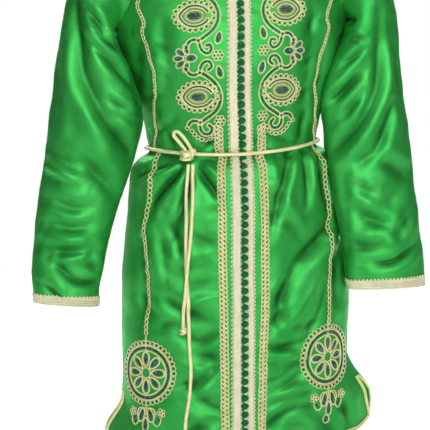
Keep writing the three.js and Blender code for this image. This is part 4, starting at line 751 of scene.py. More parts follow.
def tube(pile, line, radius, sides=6, closed=False, strands=0, relief=0.0, pitch=12.0):
    """A cord along a line. Strands give it that many twisted ridges, one turn of them to each pitch."""
    line = np.asarray(line, float)
    count = len(line)
    tangent = unit(np.roll(line, -1, 0) - np.roll(line, 1, 0)) if closed else unit(np.gradient(line, axis=0))
    side = np.zeros_like(line)
    start = np.cross(tangent[0], [0, 0, 1.0] if abs(tangent[0][2]) < 0.9 else [1.0, 0, 0])
    side[0] = start / np.linalg.norm(start)
    for k in range(1, count):
        turned = side[k - 1] - tangent[k] * np.dot(side[k - 1], tangent[k])
        side[k] = turned / np.linalg.norm(turned)
    other = np.cross(tangent, side)
    turn = full_turn(sides)
    wave = radius * np.ones((count, sides))
    if strands:
        phase = strands * (turn[None] + 2 * np.pi * arc_length(line)[:, None] / pitch)
        wave = radius * (1 - relief + relief * np.abs(np.cos(phase / 2)) ** 0.6)
    ring = side[:, None] * (wave * np.cos(turn))[..., None] + other[:, None] * (wave * np.sin(turn))[..., None]
    points = (line[:, None] + ring).reshape(-1, 3)
    faces = grid_faces(count, sides, True)
    j = np.arange(sides)
    k = (j + 1) % sides
    last = (count - 1) * sides
    if closed:
        offset = int(np.argmin(np.linalg.norm(points[:sides] - points[last], axis=1)))
        join = np.stack([last + j, last + k, (k + offset) % sides, (j + offset) % sides], -1)
        pile.add(points, outward_faces(points, np.concatenate([faces, join])))
        return
    caps = np.stack([line[0] - tangent[0] * radius * 0.5, line[-1] + tangent[-1] * radius * 0.5])
    points = np.concatenate([points, caps])
    first_cap = 0 * j + count * sides
    tips = np.concatenate([np.stack([first_cap, k, j], -1), np.stack([first_cap + 1, last + j, last + k], -1)])
    sides_out = outward_faces(points, faces)
    flipped = sides_out[0, 0] != faces[0, 0]
    pile.add(points, sides_out)
    pile.faces.append(np.asarray(tips[:, ::-1] if flipped else tips, int) + pile.count - len(points))


def per_copy(centres, *sizes):
    """Each size as one value for each centre, ready to spread over a grid."""
    return (np.broadcast_to(np.asarray(size, float), (len(centres),))[:, None, None] for size in sizes)


def rings(pile, centres, right, up, out, a, b, thickness, parts=12, sides=5):
    """Small loops of cord round each centre, with half axes a and b."""
    phi, theta = full_turn(parts)[:, None], full_turn(sides)[None]
    a, b, thickness = per_copy(centres, a, b, thickness)
    away = a + thickness * np.cos(theta) + 0 * phi
    tall = b + thickness * np.cos(theta) + 0 * phi
    u, v, w = away * np.cos(phi), tall * np.sin(phi), thickness * np.sin(theta) + 0 * phi
    points = centres[:, None, None] + u[..., None] * right[:, None, None] + v[..., None] * up[:, None, None]
    points = points + w[..., None] * out[:, None, None]
    i, j = np.meshgrid(np.arange(parts), np.arange(sides), indexing="ij")
    i2, j2 = (i + 1) % parts, (j + 1) % sides
    faces = np.stack([i * sides + j, i2 * sides + j, i2 * sides + j2, i * sides + j2], -1).reshape(-1, 4)
    add_copies(pile, points.reshape(len(centres), -1, 3), faces)


def beads(pile, centres, right, up, out, a, b, c, parts=8, levels=5):
    """Beads with half axes a, b and c along the three directions."""
    phi, level = full_turn(parts)[None], np.linspace(-np.pi / 2, np.pi / 2, levels + 1)[:, None]
    x, y, z = np.cos(level) * np.cos(phi), np.cos(level) * np.sin(phi), np.sin(level) + 0 * phi
    a, b, c = (v[..., None] for v in per_copy(centres, a, b, c))
    points = centres[:, None, None] + a * x[None, ..., None] * right[:, None, None]
    points = points + b * y[None, ..., None] * up[:, None, None] + c * z[None, ..., None] * out[:, None, None]
    add_copies(pile, points.reshape(len(centres), -1, 3), grid_faces(levels + 1, parts, True))


def add_copies(pile, points, faces):
    """Adds the same faces for each copy of a small shape."""
    faces = outward_faces(points[0], faces)
    offsets = np.arange(len(points))[:, None, None] * points.shape[1]
    pile.add(points.reshape(-1, 3), (faces[None] + offsets).reshape(-1, faces.shape[1]))


cloth = {side: front_panel(side) for side in SIDES}
cloth_back = back_panel()
sleeves = {side: sleeve(side, cloth[side], cloth_back) for side in SIDES}


def column_line(sheet, q, low_z, high_z, spacing):
    """Even points up a piece of cloth at a fractional line number, with the directions across, up and out."""
    grid, normals = sheet["grid"], sheet["normals"]
    j = int(np.clip(np.searchsorted(sheet["q"], q, side="right") - 1, 0, len(sheet["q"]) - 2))
    t = (q - sheet["q"][j]) / (sheet["q"][j + 1] - sheet["q"][j])
    line, facing = lerp(grid[:, j], grid[:, j + 1], t), lerp(normals[:, j], normals[:, j + 1], t)
    keep = (line[:, 2] >= low_z) & (line[:, 2] <= high_z)
    length = arc_length(line[keep])
    at = even_steps(length, spacing)
    points, out = at_lengths(line[keep], length, at), unit(at_lengths(facing[keep], length, at))
    right = unit(np.cross(unit(np.gradient(points, axis=0)), out))
    return points, right, unit(np.cross(out, right)), out


faces_of_fronts = {}
for side in SIDES:
    grid = cloth[side]["grid"]
    quads = grid_faces(grid.shape[0], grid.shape[1]).tolist()
    faces_of_fronts[side] = BVHTree.FromPolygons(grid.reshape(-1, 3).tolist(), quads)


def on_cloth(x, z, side=None):
    """The point and the normal of the fronts at that x and height."""
    for s in [side] if side else SIDES:
        hit, normal, index, _ = faces_of_fronts[s].ray_cast(Vector((x, -400, z)), Vector((0, 1, 0)))
        if hit is None:
            continue
        sheet = cloth[s]
        columns = sheet["grid"].shape[1]
        i, j = divmod(index, columns - 1)
        out = unit(sheet["normals"][i : i + 2, j : j + 2].reshape(-1, 3).sum(0))
        return np.array(hit), out
    raise ValueError(f"no cloth at x {x:.1f}, z {z:.1f}")


arc_tables = {}


def x_from_opening(side, distance, z):
    """The x that lies that distance from the opening, measured round the section at height z."""
    key = (side, round(float(z) * 2))
    if key not in arc_tables:
        level = key[1] / 2
        start = angle_at_share(side * opening(level) / half_width(level))
        angles = start + np.arange(0, 90, 0.5)
        points = section(side, angles, np.full_like(angles, level))
        arc_tables[key] = (arc_length(points), points[:, 0])
    arc, x = arc_tables[key]
    return float(np.interp(distance, arc, x))


def laid(side, flat, out):
    """Flat points, as distance from the opening and height, laid on a front at a distance from the cloth."""
    points, normals = [], []
    for u, v in flat:
        point, normal = on_cloth(x_from_opening(side, u, v), v, side)
        points.append(point + normal * out)
        normals.append(normal)
    return np.array(points), np.array(normals)


def frames(side, flat, out, direction=None):
    """Laid points with directions: away from the opening or along the given flat direction, up and out."""
    flat = np.asarray(flat, float)
    points, normals = laid(side, flat, out)
    if direction is None:
        direction = np.tile([1.0, 0.0], (len(flat), 1))
    ahead, _ = laid(side, flat + np.asarray(direction) * 0.8, out)
    right = unit(ahead - points)
    right = unit(right - normals * (right * normals).sum(-1, keepdims=True))
    return points, right, unit(np.cross(normals, right)), normals


def along_flat(flat):
    return unit(np.gradient(np.asarray(flat, float), axis=0))


def beside_flat(flat, distance):
    """A flat line's parallel at a distance to its left."""
    ahead = along_flat(flat)
    return flat + distance * np.stack([-ahead[:, 1], ahead[:, 0]], -1)


BEAD_PITCH = 2.6


class Stitches:
    """The gold cords, beads and satin stitches sewn on one front."""

    def __init__(self, side):
        self.side, self.gold, self.glass, self.silk = side, Pile(), Pile(), Pile()

    def cord(self, flat, width=2.3, spacing=1.7, closed=False, out=0.8):
        line = resample(flat, spacing, closed)
        points, _ = laid(self.side, line, out)
        tube(self.gold, points, width / 2, 6, closed)

    def bead_row(self, flat, size=1.5, closed=False):
        line = resample(flat, BEAD_PITCH, closed)
        direction = unit(np.roll(line, -1, 0) - np.roll(line, 1, 0)) if closed else along_flat(line)
        points, right, up, normals = frames(self.side, line, 1.0, direction)
        beads(self.glass, points, right, up, normals, BEAD_PITCH * 0.52, size, size * 0.8, 7, 4)

    def channel(self, flat, half):
        """A row of beads between two gold cords, with a cord round each end."""
        self.bead_row(flat)
        for hand in (half, -half):
            self.cord(beside_flat(flat, hand))
        turn = np.linspace(-np.pi / 2, np.pi / 2, 7)[:, None]
        for end, inwards in ((flat[0], flat[1]), (flat[-1], flat[-2])):
            away = unit(end - inwards)
            across = np.array([-away[1], away[0]])
            self.cord(end + half * (np.cos(turn) * away + np.sin(turn) * across), spacing=1.5)

    def loops(self, flat, radius, bead=1.4, width=2.1, direction=None):
        """Small loops of cord, each round a bead."""
        points, right, up, normals = frames(self.side, flat, 0.8, direction)
        radius = np.broadcast_to(np.asarray(radius, float), (len(points),))
        rings(self.gold, points, right, up, normals, radius, radius, width / 2)
        beads(self.glass, points + normals * 0.3, right, up, normals, bead, bead, bead * 0.8)

    def oval(self, centre, a, b, tilt, width=1.9, *, bead, flip=1):
        """An oval of cord with a row of beads, that long each way from the middle."""
        c, s = math.cos(tilt * DEG), math.sin(tilt * DEG)
        turn = full_turn(24)
        pinch = 1 - 0.25 * np.cos(turn) * flip
        line = np.stack([a * np.cos(turn), b * pinch * np.sin(turn)], -1)
        self.cord(np.array(centre) + line @ np.array([[c, s], [-s, c]]), width, 1.5, True)
        steps = np.linspace(-1, 1, max(3, int(2 * bead / 2.4)))
        flat = np.array(centre) + (steps * (bead - 1.2))[:, None] * np.array([[c, s]])
        size = (b - 1.0) * np.sqrt(np.maximum(1 - (0.8 * steps) ** 2, 0.05))
        points, right, up, normals = frames(self.side, flat, 0.9, np.tile([c, s], (len(flat), 1)))
        beads(self.glass, points, right, up, normals, 1.5, size, 1.2, 8, 4)

    def satin_stitch(self, outline, middle, out, height):
        """A raised patch of satin stitch inside an outline."""
        rim, _ = laid(self.side, outline, out - 0.4)
        inner, _ = laid(self.side, lerp(np.asarray(outline), np.asarray(middle)[None], 0.3), out + height * 0.75)
        top, _ = laid(self.side, [middle], out + height)
        count = len(rim)
        j = np.arange(count)
        k = (j + 1) % count
        points = np.concatenate([rim, inner, top])
        self.silk.add(points, np.stack([j, k, k + count, j + count], -1))
        tips = np.stack([j + count, k + count, 0 * j + 2 * count], -1)
        self.silk.faces.append(tips + self.silk.count - len(points))


# The scrolls on the chest, as distances from the opening and heights
EYES = [(70, -196), (64, -325.5)]
STEMS = [
    [(58, -163), (47, -168), (37, -178), (31.5, -193), (33, -207), (41, -220), (53, -229.5), (64, -236.5)],
    [(61, -286), (49, -293), (38, -303), (31, -314), (28, -328), (30.5, -341), (39, -352.5), (51, -361), (62, -368.5)],
]
SCROLLS = [
    [(63, -234), (60.5, -246), (55, -254), (47, -256.5), (42.5, -250), (45, -243), (50.5, -244)],
    [(61, -288), (59, -277), (53, -270), (45, -270.5), (42, -278), (47, -283)],
    [(62, -366), (62, -378), (56, -386), (47, -386), (43, -378), (48, -372.5)],
    [(63, -236), (72, -234), (79, -238), (83, -247)],
    [(61, -287), (70, -290.5), (78, -287.5), (84, -279)],
    [(62, -367), (71, -364.5), (78, -366.5), (81, -371)],
]
LEAVES = [(31, -232, 12), (29, -287, -14)]
FAN = {"u": 77, "v": -263, "petals": 5, "spread": 36, "reach_x": 18.5, "reach_z": 15}
FLOWERS = [(31.5, -260.5), (29.5, -366)]
CHEST_RISE = {1: 5, -1: 0}
CHEST_SHIFT = {1: 11, -1: 0}
EYE = {"loops": (32.6, 22.8), "ring": (23.5, 16.7), "almond": (14.5, 9), "heart": (10.6, 5.2)}


def almond(centre, a, b, point=0.35, start=0.0, end=2 * np.pi, count=40):
    """An oval that narrows to a point at its outer end."""
    turn = np.linspace(start, end, count, endpoint=end - start < 6.2)
    narrow = 1 - point * np.maximum(np.cos(turn), 0) ** 3
    return np.array(centre) + np.stack([a * np.cos(turn), b * narrow * np.sin(turn)], -1)


def eye(work, centre):
    """An almond eye: a ring of looped cord, a broken ring of beads, pale satin stitch and a beaded heart."""
    a, b = EYE["loops"]
    line = resample(almond(centre, a, b, 0.12, count=60), 9.2, True)
    work.loops(line, 3.7)
    inner = almond(centre, a - 4.6, b - 4.2, 0.2)
    work.cord(inner, 1.8, closed=True)
    a, b = EYE["ring"]
    work.channel(almond(centre, a, b, 0.35, -2.75, 2.75, 44), 2.4)
    a, b = EYE["almond"]
    work.satin_stitch(almond(centre, a + 4.6, b + 4.2), centre, 0.3, 0.7)
    work.cord(almond(centre, a, b), 2.0, closed=True, out=1.4)
    a, b = EYE["heart"]
    points = [(x, y) for y in np.arange(-b + 1.3, b, 2.5) for x in np.arange(-a + 1.4, a, 3.0)]
    inside = [(x, y) for x, y in points if (x / a) ** 2 + (y / b) ** 2 < 0.92]
    flat = np.array(centre) + np.array(inside)
    points, right, up, normals = frames(work.side, flat, 1.9)
    beads(work.glass, points, right, up, normals, 1.6, 1.25, 1.2)


def round_points(centre, radius, count):
    turn = full_turn(count)
    return np.array(centre) + radius * np.stack([np.cos(turn), np.sin(turn)], -1)


def flower(work, centre, petals=6, reach=6.2, radius=3.0):
    work.loops(round_points(centre, reach, petals), radius, 1.2, 1.8)
    work.loops(np.array([centre]), 1.9, 1.2, 1.1)


def chest(work):
    side = work.side
    move = np.array([CHEST_SHIFT[side], CHEST_RISE[side]], float)
    for centre in EYES:
        eye(work, np.array(centre) + move)
    for stem in STEMS:
        work.channel(spline(np.array(stem) + move, 1.5), 3.6)
    for scroll in SCROLLS:
        work.channel(spline(np.array(scroll) + move, 1.5), 3.2)
    for u, v, tilt in LEAVES:
        work.oval(np.array([u, v]) + move, 10.4, 5.4, 90 + tilt, 2.6, bead=6.8)
    for centre in FLOWERS:
        flower(work, np.array(centre) + move)
    heart = np.array([FAN["u"], FAN["v"]]) + move
    work.oval(heart - (2, 0), 9.2, 6.2, 0, bead=6.8, flip=0)
    for k in range(FAN["petals"]):
        turn = (k - (FAN["petals"] - 1) / 2) * FAN["spread"]
        reach = np.array([FAN["reach_x"] * math.cos(turn * DEG), FAN["reach_z"] * math.sin(turn * DEG)])
        work.oval(heart + reach, 8.6, 4.8, turn, 2.0, bead=5.4, flip=-1)
    tail = spline(np.array([(76, -381), (70, -389), (61, -395), (50, -396.5), (41, -392), (37, -384)]) + move, 7.6)
    work.loops(tail, 3.3, 1.4)
    work.loops(np.array([(84, -376)], float) + move, 3.1, 1.4)


WHEELS = {1: (159.5, -770), -1: (-144, -778)}
WHEEL = {"loops": 50.5, "loop_count": 38, "beads": 41.9, "inner": 37, "petals": 8, "petal": (10.5, 34.5), "eye": 8.6}
FRONT_REACH = 230  # how far from the opening a front's points are looked up


def distance_from_opening(side, x, z):
    table = [x_from_opening(side, u, z) for u in range(FRONT_REACH + 1)]
    return float(np.interp(side * x, side * np.array(table), range(FRONT_REACH + 1)))


def wheel(work):
    side = work.side
    x, z = WHEELS[side]
    centre = np.array([distance_from_opening(side, x, z), z])
    count = WHEEL["loop_count"]
    work.loops(round_points(centre, WHEEL["loops"], count), 3.9, 1.7, 1.7, round_points((0, 0), 1, count))
    for radius, width in ((WHEEL["loops"] - 5.2, 2.5), (WHEEL["inner"], 2.7)):
        work.cord(round_points(centre, radius, 72), width, closed=True)
    work.bead_row(round_points(centre, WHEEL["beads"], 72), 2.1, closed=True)
    low, high = WHEEL["petal"]
    for k in range(WHEEL["petals"]):
        turn = 360 * k / WHEEL["petals"] + 90
        place = (low + high) / 2
        at = centre + place * np.array([math.cos(turn * DEG), math.sin(turn * DEG)])
        work.oval(at, (high - low) / 2, 6.3, turn, 2.9, bead=7, flip=-1)
    work.cord(round_points(centre, WHEEL["eye"], 24), 2.2, closed=True)
    work.cord([centre + (0, WHEEL["inner"]), centre + (0, WHEEL["loops"] + 11)], 2.4)
    spray(work, centre)


def spray(work, centre):
    """The leaves, curls and flowers below a wheel, and a bead drop on the wearer's left one."""
    work.cord(centre + np.array([(0, -54), (0, -70)]), 2.4)
    for hand in (1, -1):
        flip = np.array([hand, 1])
        work.oval(centre + flip * (8.5, -70), 12, 5.4, 90 + hand * 14, 2.2, bead=8.5, flip=1)
        curl = np.array([(2.5, -58), (13, -59), (17.5, -68), (14, -80), (19, -87.5), (26, -84), (28.5, -75)])
        work.cord(spline(centre + flip * curl, 1.6), 2.2)
        work.bead_row(spline(centre + flip * np.array([(19, -82), (23, -78.5), (24, -72)]), 1.6), 1.5)
        flower(work, centre + flip * (28, -66), 5, 5.2, 2.5)
    work.oval(centre + (0, -86), 12, 5, 90, 2.2, bead=8.5)
    if work.side > 0:
        work.oval(centre + (-4, -104), 7.5, 5.6, 90, 2, bead=4.5)


def chain(pile_gold, pile_glass, side, q, low_z, high_z, pitch, a, b, tilt, thickness, bead, shift):
    """A chain of loops up a front, each round a bead, tilted alike on both sides."""
    points, right, up, out = column_line(cloth[side], q, low_z, high_z, pitch)
    points = points + up * shift * pitch + out
    c, s = math.cos(tilt * side * DEG), math.sin(tilt * side * DEG)
    first, second = right * c + up * s, up * c - right * s
    rings(pile_gold, points, first, second, out, a, b, thickness)
    beads(pile_glass, points + out * 0.4, first, second, out, bead, bead, bead * 0.8)


def braid(pile, sheet, q0, q1, low_z, high_z, pitch, height, ridges):
    """A woven braid between two lines of the cloth: ridges with a slanted weave and a wavy edge."""
    spacing = pitch / 4
    edges = [column_line(sheet, q, low_z, high_z, spacing) for q in (q0, q1)]
    count = min(len(edges[0][0]), len(edges[1][0]))
    left, right = edges[0][0][:count], edges[1][0][:count]
    out = unit(edges[0][3][:count] + edges[1][3][:count])
    columns = 6 * ridges + 1
    t = np.linspace(0, 1, columns)
    along = np.arange(count)[:, None] * spacing
    weave = np.abs(np.sin(np.pi * ridges * t))[None]
    sign = np.where((t * ridges).astype(int) % 2, 1, -1)[None]
    slant = 0.5 + 0.5 * np.sin(2 * np.pi * (along / pitch + sign * t[None] * ridges * 0.9))
    loose = np.stack(np.broadcast_arrays(t[None] * ridges * 1.7, along / pitch * 1.3, 0.5), -1)
    rise = height * (0.6 + 0.12 * weave + 0.22 * slant * weave**0.5 + 0.3 * noise_at(loose, 1, 4.4))
    rise = rise * smoothstep(np.minimum(t, 1 - t), -0.02, 0.05)[None] + 0.25
    wave = np.sin(2 * np.pi * along / 7.4) + 0.6 * np.sin(2 * np.pi * along / 3.1)
    wobble = 0.06 * wave * (np.abs(2 * t - 1)[None] ** 4) * np.sign(t - 0.5)[None]
    grid = left[:, None] + (right - left)[:, None] * (t[None] + wobble)[..., None]
    top = grid + out[:, None] * rise[..., None]
    bottom = grid + out[:, None] * 0.05
    total = count * columns
    number = np.arange(total).reshape(count, columns)
    rim = np.concatenate([number[0, :-1], number[:-1, -1], number[-1, :0:-1], number[:0:-1, 0]])
    sides = np.stack([rim, np.roll(rim, -1), np.roll(rim, -1) + total, rim + total], -1)
    points = np.concatenate([top.reshape(-1, 3), bottom.reshape(-1, 3)])
    pile.add(points, outward_faces(points, np.concatenate([grid_faces(count, columns), sides[:, ::-1]])))


def picots(pile, sheet, q, low_z, high_z, pitch, hand, length, width, shift, stand):
    """Pointed loops of cord along a braid's edge."""
    points, right, up, out = column_line(sheet, q, low_z, high_z, pitch)
    for point, across, along, facing in zip(points, right * hand, up, out):
        base = point + along * shift * pitch + facing * stand
        half = min(pitch * 0.36, 2.2)
        shape = ((0, -half), (0.6, -0.55 * half), (1, 0), (0.6, 0.55 * half), (0, half))
        tube(pile, spline([base + across * length * a + along * b for a, b in shape], 1.4), width / 2, 5)


KNOT_PITCH, KNOT_RADIUS = 13.6, 6.0


def silk_knots(pile, strip):
    """A row of silk knots: each a ball wound with cord on a short loop, over a strip of satin."""
    sheet = cloth[1]
    low, high = HEM_Z + 3, -102
    braid(strip, sheet, 0.05, 0.9, low - 1, high + 4, KNOT_PITCH, 0.9, 1)
    points, right, up, out = column_line(sheet, 0.5, low + 5, high, KNOT_PITCH)
    turn = full_turn(18)[:, None]
    for k, (point, across, along, facing) in enumerate(zip(points, right, up, out)):
        shift = 0.5 * noise.noise(Vector((k * 0.77, 3.1, 0)))
        centre = point + facing * 3.6 + across * shift
        beads(pile, centre[None], across[None], along[None], facing[None], 5.4, 5.4, 4.1, 12, 8)
        for tilt in (-58, 0, 58):
            c, s = math.cos(tilt * DEG), math.sin(tilt * DEG)
            first, second = across * c + along * s, along * c - across * s
            for offset in (-1.5, 1.5):
                radius = math.sqrt(KNOT_RADIUS**2 - offset**2) - 0.8
                line = centre + second * offset + radius * (np.cos(turn) * first + 0.78 * np.sin(turn) * facing)
                tube(pile, line, 0.95, 5, True)
        for hand in (1, -1):
            foot = centre + across * hand * 4 - facing * 1.5
            bend = [foot + across * hand * 1.6 + along * 1.2, foot + across * hand * 1.8 - along * 1.2]
            tube(pile, spline([foot, *bend, foot], 1.4), 0.8, 5)


def belt_line():
    """The belt's line round the waist, from its knot and back to it, in steps of 3 degrees."""
    start = float(angle_at_share((lean(KNOT["z"]) - KNOT["x"]) / half_width(KNOT["z"])))
    parts = [(-1, (start, 0, -3.0)), (1, (0, 180, 3.0)), (-1, (180, start, -3.0)), (-1, (start, start + 1, 3.0))]
    line = []
    for side, steps in parts:
        for angle in np.arange(*steps):
            c = math.cos(angle * DEG)
            z = BELT["side_z"] - (WAIST["front_sag"] if c > 0 else -WAIST["back_rise"]) * c * c
            point = section(side, np.float64(angle), np.float64(z))
            outward = unit(point - hollow_of_body(point))
            from_knots = (point[0] - x_from_opening(1, BELT["knots_at"], z)) / BELT["knots_spread"]
            over = BELT["over_knots"] * math.exp(-(from_knots**2)) if c > 0 else 0
            line.append(point + outward * (CORD_RADIUS + BELT["clearance"] + BELT["stand"] + over))
    return np.array(line)


def over_cloth(route, spacing):
    """A smooth line over the fronts through points given as x, height and distance from the cloth."""
    line = spline(route, spacing)
    points = []
    for x, z, out in line:
        hit, _ = on_cloth(x, z)
        points.append(hit - np.array([0, out + 0.6, 0]))
    points = np.array(points)
    for _ in range(60):
        softer = (points[:-2] + 2 * points[1:-1] + points[2:]) / 4
        points[1:-1, 1] = np.minimum(softer[:, 1], points[1:-1, 1] + 0.05)
    return points


# Looks
def new_look(name):
    look = bpy.data.materials.new(name)
    look.use_nodes = True
    nodes = look.node_tree.nodes
    return look, nodes, nodes["Principled BSDF"]


def fill(node, values):
    """Sets a node's inputs: a socket is linked, anything else is a fixed value."""
    for key, value in values.items():
        if isinstance(value, bpy.types.NodeSocket):
            node.id_data.links.new(value, node.inputs[key])
        else:
            node.inputs[key].default_value = value


def add_node(nodes, kind, values=(), output=0, **settings):
    """Adds a node and returns its output socket of that number or name."""
    node = nodes.new("ShaderNode" + kind)
    for key, value in settings.items():
        setattr(node, key, value)
    fill(node, dict(values))
    return node.outputs[output]


def ramp(nodes, factor, stops):
    color = add_node(nodes, "ValToRGB", {"Fac": factor})
    elements = color.node.color_ramp.elements
    while len(elements) < len(stops):
        elements.new(0.5)
    for element, (place, tone) in zip(elements, stops):
        element.position, element.color = place, (*tone, 1)
    return color


def object_points(nodes, *scale):
    """The surface's place in the object, in units of that many millimetres."""
    place = add_node(nodes, "TexCoord", output="Object")
    return add_node(nodes, "Mapping", {"Vector": place, "Scale": [1000 / s for s in scale]})


def weighted(nodes, first, share, second):
    """The first value times its share, plus the second."""
    return add_node(nodes, "Math", {0: first, 1: share, 2: second}, operation="MULTIPLY_ADD")


def spread(nodes, value, low, high, start=0.0, end=1.0):
    """A value stretched to run from low to high."""
    limits = {"From Min": start, "From Max": end, "To Min": low, "To Max": high}
    return add_node(nodes, "MapRange", {"Value": value, **limits})


def satin_look(name, dark, light, roughness=0.53):
    look, nodes, shader = new_look(name)
    broad = {"Vector": object_points(nodes, 60, 60, 60), "Scale": 1, "Detail": 3, "Roughness": 0.5}
    broad = add_node(nodes, "TexNoise", broad, "Fac")
    thread = {"Vector": object_points(nodes, 9, 9, 0.5), "Scale": 1, "Detail": 2, "Roughness": 0.6}
    thread = add_node(nodes, "TexNoise", thread, "Fac")
    broad_part = add_node(nodes, "Math", {0: broad, 1: 0.75}, operation="MULTIPLY")
    tones = ramp(nodes, weighted(nodes, thread, 0.25, broad_part), [(0.3, dark), (0.7, light)])
    # Painted shade: the satin's colour is darkened where the cloth lies deep in a valley, read from the valley
    # attribute
    valley = add_node(nodes, "Attribute", output="Fac", attribute_name="valley")
    shade = ramp(nodes, valley, [(0.0, (1, 1, 1)), (0.5, (0.5, 0.56, 0.5)), (1.0, (0.2, 0.3, 0.2))])
    tones_with_painted_shade = add_node(nodes, "Mix", {0: 1, 6: tones, 7: shade}, 2, data_type="RGBA", blend_type="MULTIPLY")
    fine = add_node(nodes, "Bump", {"Height": thread, "Strength": 0.12, "Distance": 0.0003})
    crinkle = {"Vector": object_points(nodes, 16, 16, 9), "Scale": 1, "Detail": 4, "Roughness": 0.55, "Distortion": 0.4}
    crinkle = add_node(nodes, "TexNoise", crinkle, "Fac")
    soft = add_node(nodes, "Bump", {"Height": crinkle, "Normal": fine, "Strength": 0.22, "Distance": 0.0016})
    fill(shader, {
        "Base Color": tones_with_painted_shade, "Roughness": spread(nodes, thread, roughness - 0.04, roughness + 0.06, 0.3, 0.7),
        "Normal": soft, "Metallic": 0.8, "Specular IOR Level": 0.6,
        "Sheen Weight": 0.01, "Sheen Roughness": 0.4, "Sheen Tint": (0.45, 1.0, 0.5, 1),
    })
    return look


def thread_look(name, dark, light, roughness, metallic, grain, bump, specular=0.5):
    """Metallic or silk thread: fine slanted strands, darker between them."""
    look, nodes, shader = new_look(name)
    points = object_points(nodes, grain, grain, grain)
    strands = {"Vector": points, "Scale": 0.5, "Distortion": 2.5, "Detail": 2}
    strands = add_node(nodes, "TexWave", strands, "Fac", bands_direction="DIAGONAL")
    sparkle_and_painted_glints = add_node(nodes, "TexVoronoi", {"Vector": points, "Scale": 0.7}, "Distance")
    patches = add_node(nodes, "TexNoise", {"Vector": object_points(nodes, 14, 14, 14), "Scale": 1, "Detail": 3}, "Fac")
    # The glitter cells set the roughness and the bump, and they also lighten the thread's colour: painted glints
    height = weighted(nodes, sparkle_and_painted_glints, 0.45, strands)
    patch_part = add_node(nodes, "Math", {0: patches, 1: 0.55}, operation="MULTIPLY")
    tones = ramp(nodes, weighted(nodes, height, 0.5, patch_part), [(0.25, dark), (0.75, light)])
    fill(shader, {
        "Base Color": tones, "Roughness": spread(nodes, sparkle_and_painted_glints, roughness - 0.08, roughness + 0.1),
        "Normal": add_node(nodes, "Bump", {"Height": height, "Strength": bump, "Distance": 0.0005}),
        "Metallic": metallic, "Specular IOR Level": specular,
    })
    return look


def bead_look(name):
    look, nodes, shader = new_look(name)
    patches = add_node(nodes, "TexVoronoi", {"Vector": object_points(nodes, 2.6, 2.6, 2.6), "Scale": 1}, "Color")
    red, green = (add_node(nodes, "SeparateColor", {"Color": patches}, channel) for channel in ("Red", "Green"))
    tones = [
        (0.0, (0.004, 0.05, 0.03)), (0.5, (0.006, 0.075, 0.06)), (0.82, (0.02, 0.13, 0.17)), (1.0, (0.16, 0.3, 0.36)),
    ]
    fill(shader, {
        "Base Color": ramp(nodes, red, tones), "Roughness": spread(nodes, green, 0.12, 0.34),
        "Metallic": 0.35, "Coat Weight": 0.6, "Coat Roughness": 0.12,
    })
    return look


looks = {
    "satin": satin_look("green_satin", (0.016, 0.310, 0.045), (0.050, 0.450, 0.083)),
    "braid": thread_look("gold_braid", (0.68, 0.62, 0.32), (0.98, 0.96, 0.70), 0.5, 0.1, 1.1, 0.9),
    "gold": thread_look("gold_cord", (0.46, 0.42, 0.13), (0.88, 0.87, 0.46), 0.42, 0.25, 1.0, 0.5),
    "belt": thread_look("belt_cord", (0.55, 0.49, 0.18), (0.92, 0.88, 0.52), 0.42, 0.3, 1.5, 0.4),
    "beads": bead_look("green_beads"),
    "silk": thread_look("knot_silk", (0.001, 0.060, 0.016), (0.004, 0.170, 0.042), 0.6, 0.0, 1.2, 0.5, 0.2),
    "stitch": thread_look("satin_stitch", (0.06, 0.22, 0.05), (0.28, 0.42, 0.14), 0.5, 0.15, 0.9, 0.7),
}
VALLEY_SHADE = {"soften": 5, "from": 0.006, "span": 0.07}  # rounds of smoothing, and the bends whose colour is darkened as painted shade


def paint_valley_shade(sheet):
    """Keeps on the cloth how deep in a valley each of its points lies, from 0 to 1, for the satin's painted shade: its
    colour is darker in the valleys.
    """
    grid, ring = sheet["grid"], sheet["ring"]
    wide = np.concatenate([grid[:, -1:], grid, grid[:, :1]] if ring else [grid[:, :1], grid, grid[:, -1:]], 1)
    tall = np.pad(grid, ((1, 1), (0, 0), (0, 0)), "edge")
    bend = np.zeros(grid.shape[:2])
    for before, after in ((wide[:, :-2], wide[:, 2:]), (tall[:-2], tall[2:])):
        step = np.linalg.norm(after - before, axis=-1) / 2 + 0.5
        bend += (((before + after) / 2 - grid) * sheet["normals"]).sum(-1) * 2 / step**2
    for _ in range(VALLEY_SHADE["soften"]):
        around = np.pad(bend, 1, "edge")
        bend = (around[:-2, 1:-1] + around[2:, 1:-1] + around[1:-1, :-2] + around[1:-1, 2:] + 2 * bend) / 6
    depth = np.clip((bend - VALLEY_SHADE["from"]) / VALLEY_SHADE["span"], 0, 1).ravel()
    values = sheet["object"].data.attributes.new("valley", "FLOAT", "POINT")
    values.data.foreach_set("value", np.concatenate([depth, 0 * depth]).astype(np.float32))


# The cloth
panels = {}
for side, name in SIDES.items():
    panels |= {f"front_{name}": cloth[side], f"sleeve_{name}": sleeves[side]}
for node, sheet in {**panels, "back": cloth_back}.items():
    pile = Pile()
    shell(pile, sheet["grid"], sheet["normals"], -CLOTH, 0, sheet["ring"])
    sheet["object"] = pile.piece(f"cloth_{node}", looks["satin"], "satin", [node])
    paint_valley_shade(sheet)

